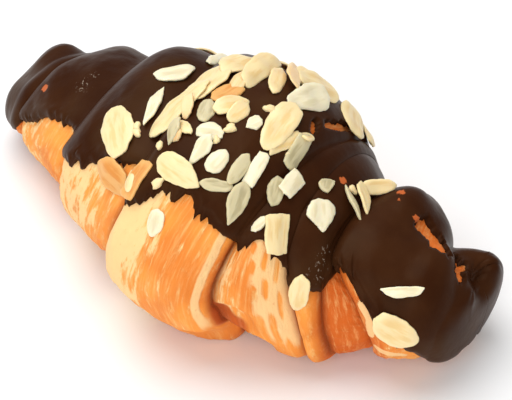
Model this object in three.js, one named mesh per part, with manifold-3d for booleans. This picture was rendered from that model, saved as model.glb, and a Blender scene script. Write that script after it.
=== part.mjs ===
// A chocolate croissant with flaked almonds, in millimetres, +Z up.
// The rolled pastry lies along X on its flat underside. Its horns bend away from -Y, the side it is seen from.
// Chocolate covers the back and both horns, and almond flakes lie on it. The origin is under the middle.

import * as THREE from "three";
import { mergeVertices } from "three/addons/utils/BufferGeometryUtils.js";
import Module from "manifold-3d";

// ---- Driving sizes: the rolled body ----

// Cross-sections from the left horn to the right one: X, half width, the middle's Y, lift off the table.
const SECTIONS = [
  { x: -76.4, half: 0, y: 10.5, lift: 8 },
  { x: -75.6, half: 4.6, y: 9.7, lift: 6.8 },
  { x: -73.7, half: 8.2, y: 9.4, lift: 6.3 },
  { x: -70.2, half: 11.2, y: 9.3, lift: 5.8 },
  { x: -64.5, half: 14.4, y: 9, lift: 5.5 },
  { x: -57, half: 16.7, y: 7.5, lift: 5 },
  { x: -46, half: 20.6, y: 3.5, lift: 4.7 },
  { x: -36, half: 23.8, y: 0, lift: 4.4 },
  { x: -22, half: 29, y: -4, lift: 4.2 },
  { x: -8, half: 34.2, y: -7, lift: 2.4 },
  { x: 6, half: 35.6, y: -8.7, lift: 0.8 },
  { x: 18, half: 35, y: -9, lift: 0.2 },
  { x: 30, half: 31.8, y: -8, lift: 0 },
  { x: 42, half: 24.7, y: -8.6, lift: 0.4 },
  { x: 53, half: 20.8, y: -7, lift: 2.6 },
  { x: 63, half: 16.2, y: -4.8, lift: 6 },
  { x: 69.5, half: 16.8, y: -2.3, lift: 5.6 },
  { x: 73, half: 16.3, y: -0.5, lift: 5.8 },
  { x: 75.4, half: 13.8, y: 1.8, lift: 8.2 },
  { x: 76.5, half: 9.6, y: 3.2, lift: 13.4 },
  { x: 76.9, half: 4.8, y: 3.8, lift: 18.2 },
  { x: 77, half: 0, y: 4, lift: 22 },
];
const HEIGHT_TO_WIDTH = 0.82; // of each section
const MIDDLE_HEIGHT = 0.9; // of a section's half height, so that the underside is pressed flat
const TIP_HALF_WIDTH = 12; // narrower sections carry less of the folds

// Angles round the body, in degrees: 0 is the top, 90 the side towards -Y, 180 the underside, -90 the back.
const CROSSING_ANGLES = [-180, -90, -30, 0, 30, 60, 90, 130, 180];
// The edges of the rolled layers. crossings is X at each of those angles. onto says which neighbour the edge lies
// on (1: the one on its left, -1: the one on its right). step is its height, tuck how far it overhangs, crease the
// depth of the groove at its foot and soft the width over which it rounds off. ends are two angles on the front:
// the edge begins to fade at the first and is gone at the second.
const FOLDS = [
  {
    crossings: [-62, -54, -57.5, -61, -65, -66.5, -67.5, -67, -62],
    onto: 1,
    step: 1.6,
    tuck: 0.3,
    crease: 0.6,
    soft: 1.6,
  },
  {
    crossings: [-57, -49, -53, -57, -59.5, -62.5, -64, -63, -57],
    onto: 1,
    step: 2,
    tuck: 0.3,
    crease: 0.6,
    soft: 1.8,
  },
  {
    crossings: [-33, -27, -29, -31, -33, -36.5, -38.5, -38, -33],
    onto: 1,
    step: 4.6,
    tuck: 0.9,
    crease: 1.6,
    soft: 3.2,
  },
  {
    crossings: [-14, -13, -8, -5.5, -3.5, -6, -10.5, -14, -14],
    onto: 1,
    step: 3.8,
    tuck: 0.8,
    crease: 1.2,
    soft: 3.2,
  },
  {
    crossings: [22, 27, 29, 27, 25.5, 23, 21.5, 24, 22],
    onto: -1,
    step: 3.8,
    tuck: 1.2,
    crease: 1.6,
    soft: 3,
  },
  {
    crossings: [36, 33.5, 34, 34.5, 35.5, 39.5, 43, 44.5, 36],
    onto: 1,
    step: 1,
    tuck: 0.2,
    crease: 0.5,
    soft: 2.2,
  },
  {
    crossings: [46.5, 42, 41.5, 41.5, 42.5, 45.5, 47.5, 48.8, 46.5],
    onto: -1,
    step: 2.6,
    tuck: 0.6,
    crease: 1.6,
    soft: 3.6,
    ends: [110, 170],
  },
  {
    crossings: [55, 46.5, 44.5, 44.5, 46.5, 54, 58.5, 58, 55],
    onto: 1,
    step: 6.5,
    tuck: 0.8,
    crease: 1.6,
    soft: 9.5,
    ends: [90, 170],
  },
  {
    crossings: [67, 62, 65, 69.5, 72.8, 73.8, 73, 71, 67],
    onto: -1,
    step: 4.5,
    tuck: 0.5,
    crease: 1.2,
    soft: 3,
    ends: [30, 75],
  },
];
// How far each layer between two edges swells, from the left horn's tip to the right one's.
const CROWNS = [0, 0.3, 1.8, 1.6, 2, 1.8, 0.4, -1.2, 1.8, 0.6];
// Where the rows of each layer lie between its two edges: close together at the edges that show.
const LAYER_ROWS = [
  [0, 0.02, 0.07, 0.16, 0.3, 0.5, 0.74, 0.92],
  [0, 0.25, 0.6],
  [0, 0.03, 0.1, 0.28, 0.52, 0.78],
  [0, 0.04, 0.13, 0.32, 0.56, 0.8],
  [0, 0.03, 0.1, 0.25, 0.42, 0.6, 0.77, 0.91, 0.97],
  [0, 0.3, 0.65],
  [0, 0.15, 0.4, 0.7],
  [0, 0.35, 0.7],
  [0, 0.05, 0.17, 0.36, 0.58, 0.8, 0.94],
  [0, 0.22, 0.45, 0.65, 0.82, 0.93, 0.98, 1],
];
const COLUMNS = 36; // round the body, closest on the side that shows most
const CLOSEST_COLUMNS = 20; // degrees
const COLUMN_SHIFT = 12; // degrees

// Lumps and hollows: where, how far they reach, how sharp their edge is (2 is soft), and how far they push.
// In order: the roll's end behind the left horn, the shoulder and the top edge of the fold behind the right horn,
// the hollow under the middle wraps, the middle wrap's lower edge with a frayed hollow at its foot, and the dish in
// the right horn's end with its lower corner.
const LUMPS = [
  { at: [-67, 14, 24.5], reach: 10.5, edge: 2, push: [-0.6, 1.8, 2.8] },
  { at: [59, 11, 30], reach: 12, edge: 2, push: [0, 0.8, 0.8] },
  { at: [46, 10, 37], reach: 9, edge: 2, push: [0, 0.8, 1.6] },
  { at: [29, -34, 8], reach: 9, edge: 2, push: [0, 3, 3] },
  { at: [20.5, -38.5, 8], reach: 10, edge: 2, push: [0, 2.6, 3.2] },
  { at: [22.5, -33.5, 5], reach: 7, edge: 2, push: [0, 1.5, 2] },
  { at: [27.5, -40.5, 19], reach: 7, edge: 4, push: [0, 3, 0.5] },
  { at: [53, 6, 38], reach: 9, edge: 2, push: [0, 0.6, 1.8] },
  { at: [43, -30, 5], reach: 11, edge: 2, push: [0, -2, 0] },
  { at: [53.5, -22.5, 9], reach: 9, edge: 2, push: [0, -1.6, -1.8] },
  { at: [74.6, 3.4, 28.8], reach: 7.6, edge: 4, push: [-1.8, 0.6, -2.6] },
  { at: [76.6, 2.6, 24.6], reach: 6.4, edge: 4, push: [-2.8, 0.6, -1.2] },
];

// ---- Driving sizes: the chocolate ----

const COAT_THICKNESS = 1.3;
const GAP = 0.35; // left between touching pieces
// The three skins: fill is the share of each crease that is evened out, tuck the share of each overhang kept.
const PASTRY_SKIN = { fill: 0, tuck: 1, offset: 0 };
const COAT_INSIDE = { fill: 0.2, tuck: 1, offset: GAP };
const COAT_OUTSIDE = { fill: 0.35, tuck: 0.4, offset: GAP + COAT_THICKNESS };
// The chocolate is smoother than the dough, so fewer rows draw it.
const COAT_ROWS = [
  [0, 0.03, 0.14, 0.34, 0.58, 0.84],
  [0, 0.45],
  [0, 0.05, 0.25, 0.62],
  [0, 0.06, 0.3, 0.66],
  [0, 0.05, 0.2, 0.42, 0.66, 0.88, 0.97],
  [0, 0.45],
  [0, 0.14, 0.5, 0.86],
  [0, 0.5],
  [0, 0.08, 0.3, 0.6, 0.88],
  [0, 0.3, 0.6, 0.82, 0.95, 1],
];
// Where the chocolate ends on the side it is seen from, and on the back: X, then the angle round the body.
const COAT_FRONT = [
  [-84, 150], [-70, 150], [-66.5, 95], [-62, 70], [-56, 59], [-48, 46], [-38.5, 44], [-36.5, 62], [-25, 55],
  [-19, 48], [-8, 42], [-5.8, 40], [-4.6, 59], [1, 51], [5, 44], [12, 41], [17, 45], [22, 50], [26, 53],
  [29, 46], [31, 41], [34, 47], [37, 49], [39.5, 54], [42, 56], [45.2, 55], [46, 43], [46.5, 31], [50, 33],
  [53.3, 42], [56.7, 51], [58.7, 57.5], [60.1, 64], [63, 74.5], [66.8, 84], [69.5, 104], [70.2, 124],
  [72, 150], [84, 178],
];
const COAT_BACK = [
  [-84, -150], [-69, -145], [-60, -112], [-45, -98], [-30, -88], [-10, -84], [10, -90], [25, -86], [40, -94],
  [55, -104], [64, -122], [70, -148], [84, -178],
];
const WHOLE_END = 74.6; // past this X the right horn is coated all round
const TOOTH_PITCH = 6; // the coat's edge runs down in short teeth
const TOOTH_DEPTH = 5; // degrees round the body

// ---- Driving sizes: the view that the flakes are placed by ----

// A flake lies where the sight lines of its ends meet the chocolate. Pixels are those of the 512 x 400 photo.
const SIGHT = { azimuth: 33, elevation: 44, distance: 700, mmPerPixel: 0.275, originPixel: [226, 244] };

// ---- Driving sizes: the almond flakes ----

const FLAKE_THICKNESS = 1.1;
const FLAKE_EDGE = 0.8; // thickness at the rim
const FLAKE_GAP = 0.45; // over what it lies on
const LONGEST_FLAKE = 20;
const WIDEST_FLAKE = 12.5;
// How far a flake can lie tipped, and arched, over its half length.
const TIPS = [-0.4, -0.3, -0.2, -0.1, 0, 0.1, 0.2, 0.3, 0.4];
const ARCHES = [0.02, 0.1, 0.2];
// Both ends of each flake in the photo, its width there in pixels, and its outline's kind. One that bridges a crease
// leans over it.
const FLAKES = [
  { ends: [[118, 104], [113, 157]], width: 33, kind: "egg" },
  { ends: [[154, 71], [194, 64]], width: 13, kind: "moon" },
  { ends: [[163, 84], [142, 123]], width: 12, kind: "splinter" },
  { ends: [[186, 93], [236, 63]], width: 25, kind: "egg" },
  { ends: [[211, 93], [245, 84]], width: 17, kind: "egg" },
  { ends: [[148, 134], [202, 73]], width: 23, kind: "egg" },
  { ends: [[220, 60], [268, 62]], width: 17, kind: "egg" },
  { ends: [[243, 79], [281, 60]], width: 16, kind: "egg" },
  { ends: [[281, 70], [274, 91]], width: 18, kind: "egg" },
  { ends: [[291, 67], [294, 87]], width: 16, kind: "egg" },
  { ends: [[299, 73], [341, 98]], width: 19, kind: "egg" },
  { ends: [[330, 107], [290, 101]], width: 22, kind: "moon" },
  { ends: [[347, 99], [360, 140]], width: 26, kind: "egg" },
  { ends: [[211, 98], [200, 119]], width: 18, kind: "egg" },
  { ends: [[196, 99], [182, 118]], width: 9, kind: "splinter" },
  { ends: [[174, 121], [191, 129]], width: 11, kind: "shard" },
  { ends: [[178, 116], [163, 141]], width: 10, kind: "splinter" },
  { ends: [[214, 107], [250, 97]], width: 13, kind: "egg" },
  { ends: [[250, 101], [231, 119]], width: 19, kind: "egg" },
  { ends: [[248, 119], [263, 123]], width: 13, kind: "shard" },
  { ends: [[271, 146], [304, 135]], width: 15, kind: "block" },
  { ends: [[298, 99], [269, 141]], width: 33, kind: "egg" },
  { ends: [[309, 135], [294, 168]], width: 15, kind: "block" },
  { ends: [[302, 163], [316, 161]], width: 12, kind: "moon" },
  { ends: [[196, 127], [224, 130]], width: 17, kind: "shard" },
  { ends: [[210, 134], [187, 162]], width: 17, kind: "drop" },
  { ends: [[157, 157], [198, 186]], width: 29, kind: "egg" },
  { ends: [[208, 170], [227, 149]], width: 21, kind: "egg" },
  { ends: [[199, 182], [234, 187]], width: 14, kind: "egg" },
  { ends: [[250, 152], [229, 183]], width: 17, kind: "egg" },
  { ends: [[267, 152], [247, 184]], width: 14, kind: "block" },
  { ends: [[246, 182], [230, 225]], width: 21, kind: "drop" },
  { ends: [[280, 175], [275, 204]], width: 19, kind: "egg" },
  { ends: [[304, 172], [287, 191]], width: 17, kind: "block" },
  { ends: [[327, 176], [329, 191]], width: 17, kind: "tooth" },
  { ends: [[322, 197], [326, 231]], width: 29, kind: "drop" },
  { ends: [[250, 229], [267, 216]], width: 9, kind: "shard" },
  { ends: [[281, 213], [278, 255]], width: 24, kind: "block" },
  { ends: [[362, 181], [357, 214]], width: 10, kind: "drop" },
  { ends: [[365, 188], [401, 185]], width: 17, kind: "egg", leans: true },
  { ends: [[381, 289], [425, 288]], width: 12, kind: "moon" },
  { ends: [[373, 322], [418, 345]], width: 30, kind: "egg" },
  { ends: [[302, 276], [296, 314]], width: 22, kind: "egg" },
  { ends: [[157, 209], [150, 237]], width: 17, kind: "egg" },
  { ends: [[105, 158], [118, 194]], width: 26, kind: "egg" },
  { ends: [[149, 162], [124, 198]], width: 17, kind: "block" },
  { ends: [[207, 62], [229, 54]], width: 8, kind: "shard" },
  { ends: [[228, 79], [253, 66]], width: 13, kind: "egg" },
  { ends: [[131, 169], [124, 191]], width: 10, kind: "block" },
  { ends: [[350, 184], [354, 220]], width: 6, kind: "splinter" },
  { ends: [[164, 140], [176, 128]], width: 12, kind: "shard" },
];
// Flakes behind the ridge, out of the photo's sight: X, angle round the body, turn from X, length and width.
const BACK_FLAKES = [
  { x: -20, angle: -64, turn: 35, length: 15, width: 9, kind: "egg" },
  { x: 3, angle: -58, turn: -20, length: 14, width: 8.5, kind: "moon" },
  { x: 17, angle: -44, turn: 70, length: 16, width: 10, kind: "egg" },
  { x: 12, angle: -74, turn: 10, length: 11, width: 7, kind: "shard" },
  { x: 28, angle: -72, turn: -40, length: 13, width: 8, kind: "egg" },
];
// Crumbs of almond that are set in the chocolate: photo pixel and size across.
const CRUMBS = [
  { pixel: [137, 127], size: 3 },
  { pixel: [137, 133], size: 3.2 },
  { pixel: [289, 156], size: 2.8 },
  { pixel: [158, 183], size: 3.6 },
  { pixel: [230, 129], size: 3.6 },
  { pixel: [216, 140], size: 2.6 },
  { pixel: [269, 109], size: 3.4 },
  { pixel: [352, 190], size: 3 },
  { pixel: [160, 146], size: 3 },
];
// Bare spots where the chocolate is torn off: photo pixel, length, width, and the turn in the photo in degrees.
const BARE_SPOTS = [
  { pixel: [433, 240], length: 9, width: 4.2, turn: -55 },
  { pixel: [455, 268], length: 5.5, width: 3.4, turn: -50 },
  { pixel: [334, 129], length: 6.5, width: 3, turn: -10 },
];

// ---- Smooth tables ----

// Runs a smooth curve through the values and reads it at x.
function smoothTable(x, places, values) {
  const last = places.length - 1;
  const at = Math.min(Math.max(x, places[0]), places[last]);
  let k = 0;
  while (k < last - 1 && at >= places[k + 1]) {
    k += 1;
  }
  const rise = (i) => (values[i + 1] - values[i]) / (places[i + 1] - places[i]);
  const slope = (i) => {
    if (i === 0) {
      return rise(0);
    }
    if (i === last) {
      return rise(last - 1);
    }
    const before = places[i] - places[i - 1];
    const after = places[i + 1] - places[i];
    return (rise(i - 1) * after + rise(i) * before) / (before + after);
  };
  const h = places[k + 1] - places[k];
  const t = (at - places[k]) / h;
  const t2 = t * t;
  const t3 = t2 * t;
  return (2 * t3 - 3 * t2 + 1) * values[k] + (t3 - 2 * t2 + t) * h * slope(k)
    + (3 * t2 - 2 * t3) * values[k + 1] + (t3 - t2) * h * slope(k + 1);
}

const SECTION_X = SECTIONS.map((s) => s.x);
const SECTION_HALF = SECTIONS.map((s) => s.half);
const SECTION_Y = SECTIONS.map((s) => s.y);
const SECTION_LIFT = SECTIONS.map((s) => s.lift);

function section(x) {
  const half = Math.max(smoothTable(x, SECTION_X, SECTION_HALF), 0);
  const tall = half * HEIGHT_TO_WIDTH;
  return {
    half,
    tall,
    y: smoothTable(x, SECTION_X, SECTION_Y),
    z: tall * MIDDLE_HEIGHT + smoothTable(x, SECTION_X, SECTION_LIFT),
  };
}

function wrapDegrees(angle) {
  return ((((angle + 180) % 360) + 360) % 360) - 180;
}

// X of a fold's edge at an angle round the body, closed smoothly under the body.
function foldX(fold, angle) {
  const places = [-230, ...CROSSING_ANGLES, 270];
  const values = [fold.crossings[7], ...fold.crossings, fold.crossings[1]];
  return smoothTable(wrapDegrees(angle), places, values);
}

function easeStep(t) {
  const s = Math.min(Math.max(t, 0), 1);
  return s * s * (3 - 2 * s);
}

// A fold that ends part of the way round runs out to nothing there.
function foldStrength(fold, angle) {
  if (!fold.ends) {
    return 1;
  }
  const a = wrapDegrees(angle);
  const front = 1 - easeStep((a - fold.ends[0]) / (fold.ends[1] - fold.ends[0]));
  const back = 1 - easeStep((-60 - a) / 60);
  return front * back;
}

// ---- The layered surface ----

// Slow unevenness of the dough.
function unevenness(x, angle) {
  const a = THREE.MathUtils.degToRad(angle);
  return 0.45 * Math.sin(0.19 * x + 2 * a)
    + 0.35 * Math.sin(0.31 * x - 3 * a + 1.3)
    + 0.25 * Math.sin(0.11 * x + 5 * a);
}

// Place along X and height over the plain section, for a share of the way across a layer.
function layerProfile(layer, share, angle, skin) {
  const left = FOLDS[layer - 1];
  const right = FOLDS[layer];
  const x0 = left ? foldX(left, angle) : SECTION_X[0];
  const x1 = right ? foldX(right, angle) : SECTION_X[SECTION_X.length - 1];
  const width = x1 - x0;
  const x = x0 + width * share;
  const sides = [];
  if (left) {
    sides.push({ fold: left, side: 1, distance: x - x0 });
  }
  if (right) {
    sides.push({ fold: right, side: -1, distance: x1 - x });
  }
  for (const s of sides) {
    s.strength = foldStrength(s.fold, angle);
    s.upper = s.fold.onto === s.side;
    s.value = (s.upper ? 0.5 : -0.5) * s.fold.step * s.strength;
  }
  const ease = easeStep(share);
  const startValue = left ? sides[0].value : sides[sides.length - 1].value;
  const endValue = right ? sides[sides.length - 1].value : sides[0].value;
  let height = startValue * (1 - ease) + endValue * ease + CROWNS[layer] * 4 * share * (1 - share);
  let shift = 0;
  for (const s of sides) {
    const top = 0.5 * s.fold.step * s.strength;
    let crease = (-0.5 * s.fold.step - s.fold.crease) * s.strength;
    crease += skin.fill * (top - crease);
    const soft = Math.min(s.fold.soft * (s.upper ? 1 : 1.6), width * 0.45);
    const u = Math.min(Math.max(s.distance / soft, 0), 1);
    const rounding = s.upper ? Math.sqrt(1 - (1 - u) * (1 - u)) : Math.sin((u * Math.PI) / 2);
    height = crease + (height - crease) * rounding;
    if (s.upper) {
      const onTop = 0.5 + 0.5 * Math.cos(THREE.MathUtils.degToRad(angle));
      shift -= s.side * s.fold.tuck * s.strength * onTop * Math.sin(Math.PI * rounding) * skin.tuck;
    }
  }
  return { x: x + shift, height: height + unevenness(x, angle) };
}

// A point of the dough's surface, or of the smoother chocolate over it.
function surfacePoint(layer, share, angle, skin) {
  const profile = layerProfile(layer, share, angle, skin);
  const s = section(profile.x);
  const height = profile.height * Math.min(s.half / TIP_HALF_WIDTH, 1);
  const a = THREE.MathUtils.degToRad(angle);
  const point = new THREE.Vector3(
    profile.x,
    s.y - (s.half + height) * Math.sin(a),
    s.z + (s.tall + height) * Math.cos(a),
  );
  const start = point.clone();
  for (const lump of LUMPS) {
    const away = start.distanceTo(new THREE.Vector3(...lump.at)) / lump.reach;
    if (away < 1) {
      point.addScaledVector(new THREE.Vector3(...lump.push), (1 - away ** lump.edge) ** 2);
    }
  }
  return point;
}

function columnAngle(c) {
  const even = (360 * c) / COLUMNS - 180;
  return even - COLUMN_SHIFT * Math.sin(THREE.MathUtils.degToRad(even - CLOSEST_COLUMNS));
}

// A closed skin: rings of points round the body with one point at each tip.
function bodyGeometry(skin, layerRows) {
  const rings = [];
  layerRows.forEach((shares, layer) => {
    for (const share of shares) {
      const ring = [];
      for (let c = 0; c < COLUMNS; c += 1) {
        ring.push(surfacePoint(layer, share, columnAngle(c), skin));
      }
      rings.push(ring);
    }
  });
  const points = [rings[0][0], ...rings.slice(1, -1).flat(), rings[rings.length - 1][0]];
  const inner = rings.length - 2;
  const index = [];
  const at = (ring, c) => 1 + ring * COLUMNS + (c % COLUMNS);
  for (let c = 0; c < COLUMNS; c += 1) {
    index.push(0, at(0, c + 1), at(0, c));
    index.push(points.length - 1, at(inner - 1, c), at(inner - 1, c + 1));
    for (let r = 0; r < inner - 1; r += 1) {
      index.push(at(r, c), at(r + 1, c + 1), at(r + 1, c), at(r, c), at(r, c + 1), at(r + 1, c + 1));
    }
  }
  const geometry = new THREE.BufferGeometry().setFromPoints(points);
  geometry.setIndex(index);
  if (skin.offset > 0) {
    geometry.computeVertexNormals();
    const position = geometry.attributes.position;
    const normal = geometry.attributes.normal;
    for (let i = 0; i < position.count; i += 1) {
      position.setXYZ(
        i,
        position.getX(i) + normal.getX(i) * skin.offset,
        position.getY(i) + normal.getY(i) * skin.offset,
        position.getZ(i) + normal.getZ(i) * skin.offset,
      );
    }
    geometry.deleteAttribute("normal");
  }
  return geometry;
}

// The underside is pressed flat on the tray.
function flattenUnderside(geometry) {
  const position = geometry.attributes.position;
  for (let i = 0; i < position.count; i += 1) {
    position.setZ(i, Math.max(position.getZ(i), 0));
  }
  return geometry;
}

// ---- Joining and cutting ----

const wasm = await Module();
wasm.setup();

function toSolid(geometry) {
  const bare = geometry.clone();
  bare.deleteAttribute("normal");
  bare.deleteAttribute("uv");
  const merged = mergeVertices(bare, 1e-5);
  return new wasm.Manifold(new wasm.Mesh({
    numProp: 3,
    vertProperties: new Float32Array(merged.attributes.position.array),
    triVerts: new Uint32Array(merged.index.array),
  }));
}

function toGeometry(solid) {
  const mesh = solid.getMesh();
  const geometry = new THREE.BufferGeometry();
  geometry.setAttribute("position", new THREE.BufferAttribute(new Float32Array(mesh.vertProperties), 3));
  geometry.setIndex(Array.from(mesh.triVerts));
  return geometry;
}

function largestPiece(solid) {
  const pieces = solid.decompose();
  return pieces.reduce((best, piece) => (piece.volume() > best.volume() ? piece : best));
}

// ---- The chocolate ----

function brokenLine(x, line) {
  let k = 0;
  while (k < line.length - 2 && x > line[k + 1][0]) {
    k += 1;
  }
  const t = (x - line[k][0]) / (line[k + 1][0] - line[k][0]);
  return line[k][1] + (line[k + 1][1] - line[k][1]) * Math.min(Math.max(t, 0), 1);
}

// The space that the chocolate runs over: a fan round the body's middle line, between its front and back edges,
// and a block round the right horn's end.
function coatReach() {
  const fanSteps = 10;
  const spread = 8;
  const blockLength = 12;
  const blockWidth = 80;
  const start = COAT_FRONT[0][0];
  const rows = Math.round((2 * (COAT_FRONT[COAT_FRONT.length - 1][0] - start)) / TOOTH_PITCH);
  const points = [];
  for (let r = 0; r <= rows; r += 1) {
    const x = start + (r * TOOTH_PITCH) / 2;
    const s = section(x);
    const tooth = (r % 2 ? 0.5 : -0.5) * TOOTH_DEPTH * (1 + 0.6 * Math.sin(2.3 * r));
    const front = brokenLine(x, COAT_FRONT) + tooth;
    const back = brokenLine(x, COAT_BACK) - tooth;
    points.push(new THREE.Vector3(x, s.y, s.z));
    for (let k = 0; k <= fanSteps; k += 1) {
      const a = THREE.MathUtils.degToRad(back + ((front - back) * k) / fanSteps);
      const reach = 1.6 * (s.half + spread);
      const height = reach * HEIGHT_TO_WIDTH;
      points.push(new THREE.Vector3(x, s.y - reach * Math.sin(a), s.z + height * Math.cos(a)));
    }
  }
  const ring = fanSteps + 2;
  const index = [];
  for (let r = 0; r < rows; r += 1) {
    for (let k = 0; k < ring; k += 1) {
      const a = r * ring + k;
      const b = r * ring + ((k + 1) % ring);
      index.push(a, b + ring, a + ring, a, b, b + ring);
    }
  }
  for (let k = 1; k < ring - 1; k += 1) {
    index.push(0, k + 1, k);
    index.push(rows * ring, rows * ring + k, rows * ring + k + 1);
  }
  const geometry = new THREE.BufferGeometry().setFromPoints(points);
  geometry.setIndex(index);
  const block = new THREE.BoxGeometry(blockLength, blockWidth, blockWidth);
  block.translate(WHOLE_END + blockLength / 2, 0, 0);
  return toSolid(geometry).add(toSolid(block));
}

// ---- Sight lines of the photo ----

const azimuth = THREE.MathUtils.degToRad(SIGHT.azimuth);
const elevation = THREE.MathUtils.degToRad(SIGHT.elevation);
const sightBack = new THREE.Vector3(
  Math.sin(azimuth) * Math.cos(elevation),
  -Math.cos(azimuth) * Math.cos(elevation),
  Math.sin(elevation),
);
const sightRight = new THREE.Vector3(Math.cos(azimuth), Math.sin(azimuth), 0);
const sightUp = new THREE.Vector3().crossVectors(sightBack, sightRight);
const eye = sightBack.clone().multiplyScalar(SIGHT.distance);

// The sight line through a pixel.
function sightLine(pixel) {
  const across = (pixel[0] - SIGHT.originPixel[0]) * SIGHT.mmPerPixel;
  const up = (SIGHT.originPixel[1] - pixel[1]) * SIGHT.mmPerPixel;
  const through = sightRight.clone().multiplyScalar(across).addScaledVector(sightUp, up);
  return new THREE.Ray(eye, through.sub(eye).normalize());
}

// What a pixel's sight line meets first, or undefined past the outline.
function seen(pixel, targets) {
  const ray = sightLine(pixel);
  return new THREE.Raycaster(ray.origin, ray.direction).intersectObjects(targets, false)[0];
}

// ---- Almond flakes ----

// Half widths on the left and right of a flake's middle line, at a share of its length.
const OUTLINES = {
  egg: (t) => {
    const w = Math.sqrt(Math.max(1 - (2 * t - 1) ** 2, 0)) * (1.08 - 0.3 * t);
    return [w, w];
  },
  moon: (t) => {
    const w = Math.sqrt(Math.max(1 - (2 * t - 1) ** 2, 0));
    return [0.35 * w, 1.55 * w];
  },
  splinter: (t) => {
    const w = Math.min(t / 0.3, (1 - t) / 0.45, 1);
    return [w * (0.8 + 0.3 * t), w * (1.1 - 0.3 * t)];
  },
  shard: (t) => {
    const w = Math.min(t / 0.12, (1 - t) / 0.16, 1);
    return [w * (0.75 + 0.4 * t), w * (1.15 - 0.35 * t)];
  },
  block: (t) => [0.85 + 0.15 * t, 1 - 0.2 * t],
  drop: (t) => {
    const w = t < 0.4 ? Math.sqrt(1 - (1 - t / 0.4) ** 2) : ((1 - t) / 0.6) ** 0.75;
    return [w, w];
  },
  tooth: (t) => {
    const w = Math.min(t / 0.1, 1) * (1.15 - 0.95 * t ** 1.6);
    return [w, w * (0.8 + 0.2 * t)];
  },
};
const BROKEN = ["shard", "splinter", "block"];
// Where the rows of an outline lie, in shares of its length: close to the ends where they are cut straight.
const ROUND_ROWS = [0.14, 0.38, 0.64, 0.87];
const CUT_ROWS = { block: [0.03, 0.36, 0.68, 0.96], tooth: [0.03, 0.3, 0.6, 0.87], shard: [0.08, 0.38, 0.66, 0.9] };
// Where the surface under a flake is read, in shares of its half length and half width.
const FOOTPRINT = [
  [0, 0], [0.5, 0], [-0.5, 0], [0, 0.5], [0, -0.5], [0.4, 0.4], [0.4, -0.4], [-0.4, 0.4], [-0.4, -0.4],
];

function seededNoise(seed) {
  let state = seed * 9301 + 49297;
  return () => {
    state = (state * 9301 + 49297) % 233280;
    return state / 233280;
  };
}

// The outline in shares of the flake's half length and half width: the two tips, and a left, middle and right
// point in each row. A flake that is broken has a more ragged rim.
function flakeOutline(kind, seed) {
  const random = seededNoise(seed);
  const ragged = BROKEN.includes(kind) ? 0.3 : 0.12;
  const wander = () => (random() - 0.5) * ragged;
  const points = [{ u: -1, v: 0, edge: true }];
  for (const t of CUT_ROWS[kind] ?? ROUND_ROWS) {
    const [left, right] = OUTLINES[kind](t);
    const u = 2 * t - 1;
    points.push({ u: u + wander(), v: -left * (1 + wander()), edge: true });
    points.push({ u, v: (right - left) / 2, edge: false });
    points.push({ u: u + wander(), v: right * (1 + wander()), edge: true });
  }
  points.push({ u: 1, v: 0, edge: true });
  return points;
}

// Triangles of one face, and the closed loop of rim points.
const FLAKE_FACE = [[0, 2, 1], [0, 3, 2]];
for (let r = 0; r < ROUND_ROWS.length - 1; r += 1) {
  const a = 1 + 3 * r;
  FLAKE_FACE.push([a, a + 1, a + 4], [a, a + 4, a + 3], [a + 1, a + 2, a + 5], [a + 1, a + 5, a + 4]);
}
const LAST_ROW = 1 + 3 * (ROUND_ROWS.length - 1);
FLAKE_FACE.push([LAST_ROW, LAST_ROW + 1, LAST_ROW + 3], [LAST_ROW + 1, LAST_ROW + 2, LAST_ROW + 3]);
const FLAKE_RIM = [0];
for (let r = 0; r < ROUND_ROWS.length; r += 1) {
  FLAKE_RIM.push(1 + 3 * r);
}
FLAKE_RIM.push(LAST_ROW + 3);
for (let r = ROUND_ROWS.length - 1; r >= 0; r -= 1) {
  FLAKE_RIM.push(3 + 3 * r);
}

// Height of a flake's underside over its frame: lifted, tipped along its length and width, and arched.
function undersideHeight(rest, u, v) {
  const tip = rest.tipLong * u + rest.tipWide * v;
  return rest.lift + tip + rest.archLong * (1 - u * u) + rest.archWide * (1 - v * v);
}

// A thin wavy solid from the outline. frame has its middle and the vectors of its half length and half width.
function flakeGeometry(outline, frame, rest) {
  const place = (p, height) => frame.middle.clone()
    .addScaledVector(frame.along, p.u)
    .addScaledVector(frame.across, p.v)
    .addScaledVector(frame.out, undersideHeight(rest, p.u, p.v) + height);
  const low = outline.map((p) => place(p, 0));
  const high = outline.map((p) => place(p, p.edge ? FLAKE_EDGE : FLAKE_THICKNESS));
  const count = outline.length;
  const index = [];
  for (const [a, b, c] of FLAKE_FACE) {
    index.push(a + count, b + count, c + count, a, c, b);
  }
  FLAKE_RIM.forEach((a, k) => {
    const b = FLAKE_RIM[(k + 1) % FLAKE_RIM.length];
    index.push(a, b + count, b, a, a + count, b + count);
  });
  const geometry = new THREE.BufferGeometry().setFromPoints([...low, ...high]);
  geometry.setIndex(index);
  return geometry;
}

// The triangles of the solids that come near a point, as one mesh that many rays can be sent at quickly.
function nearby(targets, centre, radius) {
  const corners = [new THREE.Vector3(), new THREE.Vector3(), new THREE.Vector3()];
  const kept = [];
  for (const { geometry } of targets) {
    const { attributes, index } = geometry;
    for (let i = 0; i < index.count; i += 3) {
      corners.forEach((p, k) => p.fromBufferAttribute(attributes.position, index.getX(i + k)));
      if (corners.some((p) => p.distanceTo(centre) < radius)) {
        kept.push(...corners.map((p) => p.clone()));
      }
    }
  }
  return new THREE.Mesh(new THREE.BufferGeometry().setFromPoints(kept));
}

// How far the solids stand up over a point, along out.
function heightOver(point, out, ground) {
  const above = 14;
  const caster = new THREE.Raycaster(point.clone().addScaledVector(out, above), out.clone().negate());
  const hit = caster.intersectObject(ground, false)[0];
  return hit ? above - hit.distance : -above;
}

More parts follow.
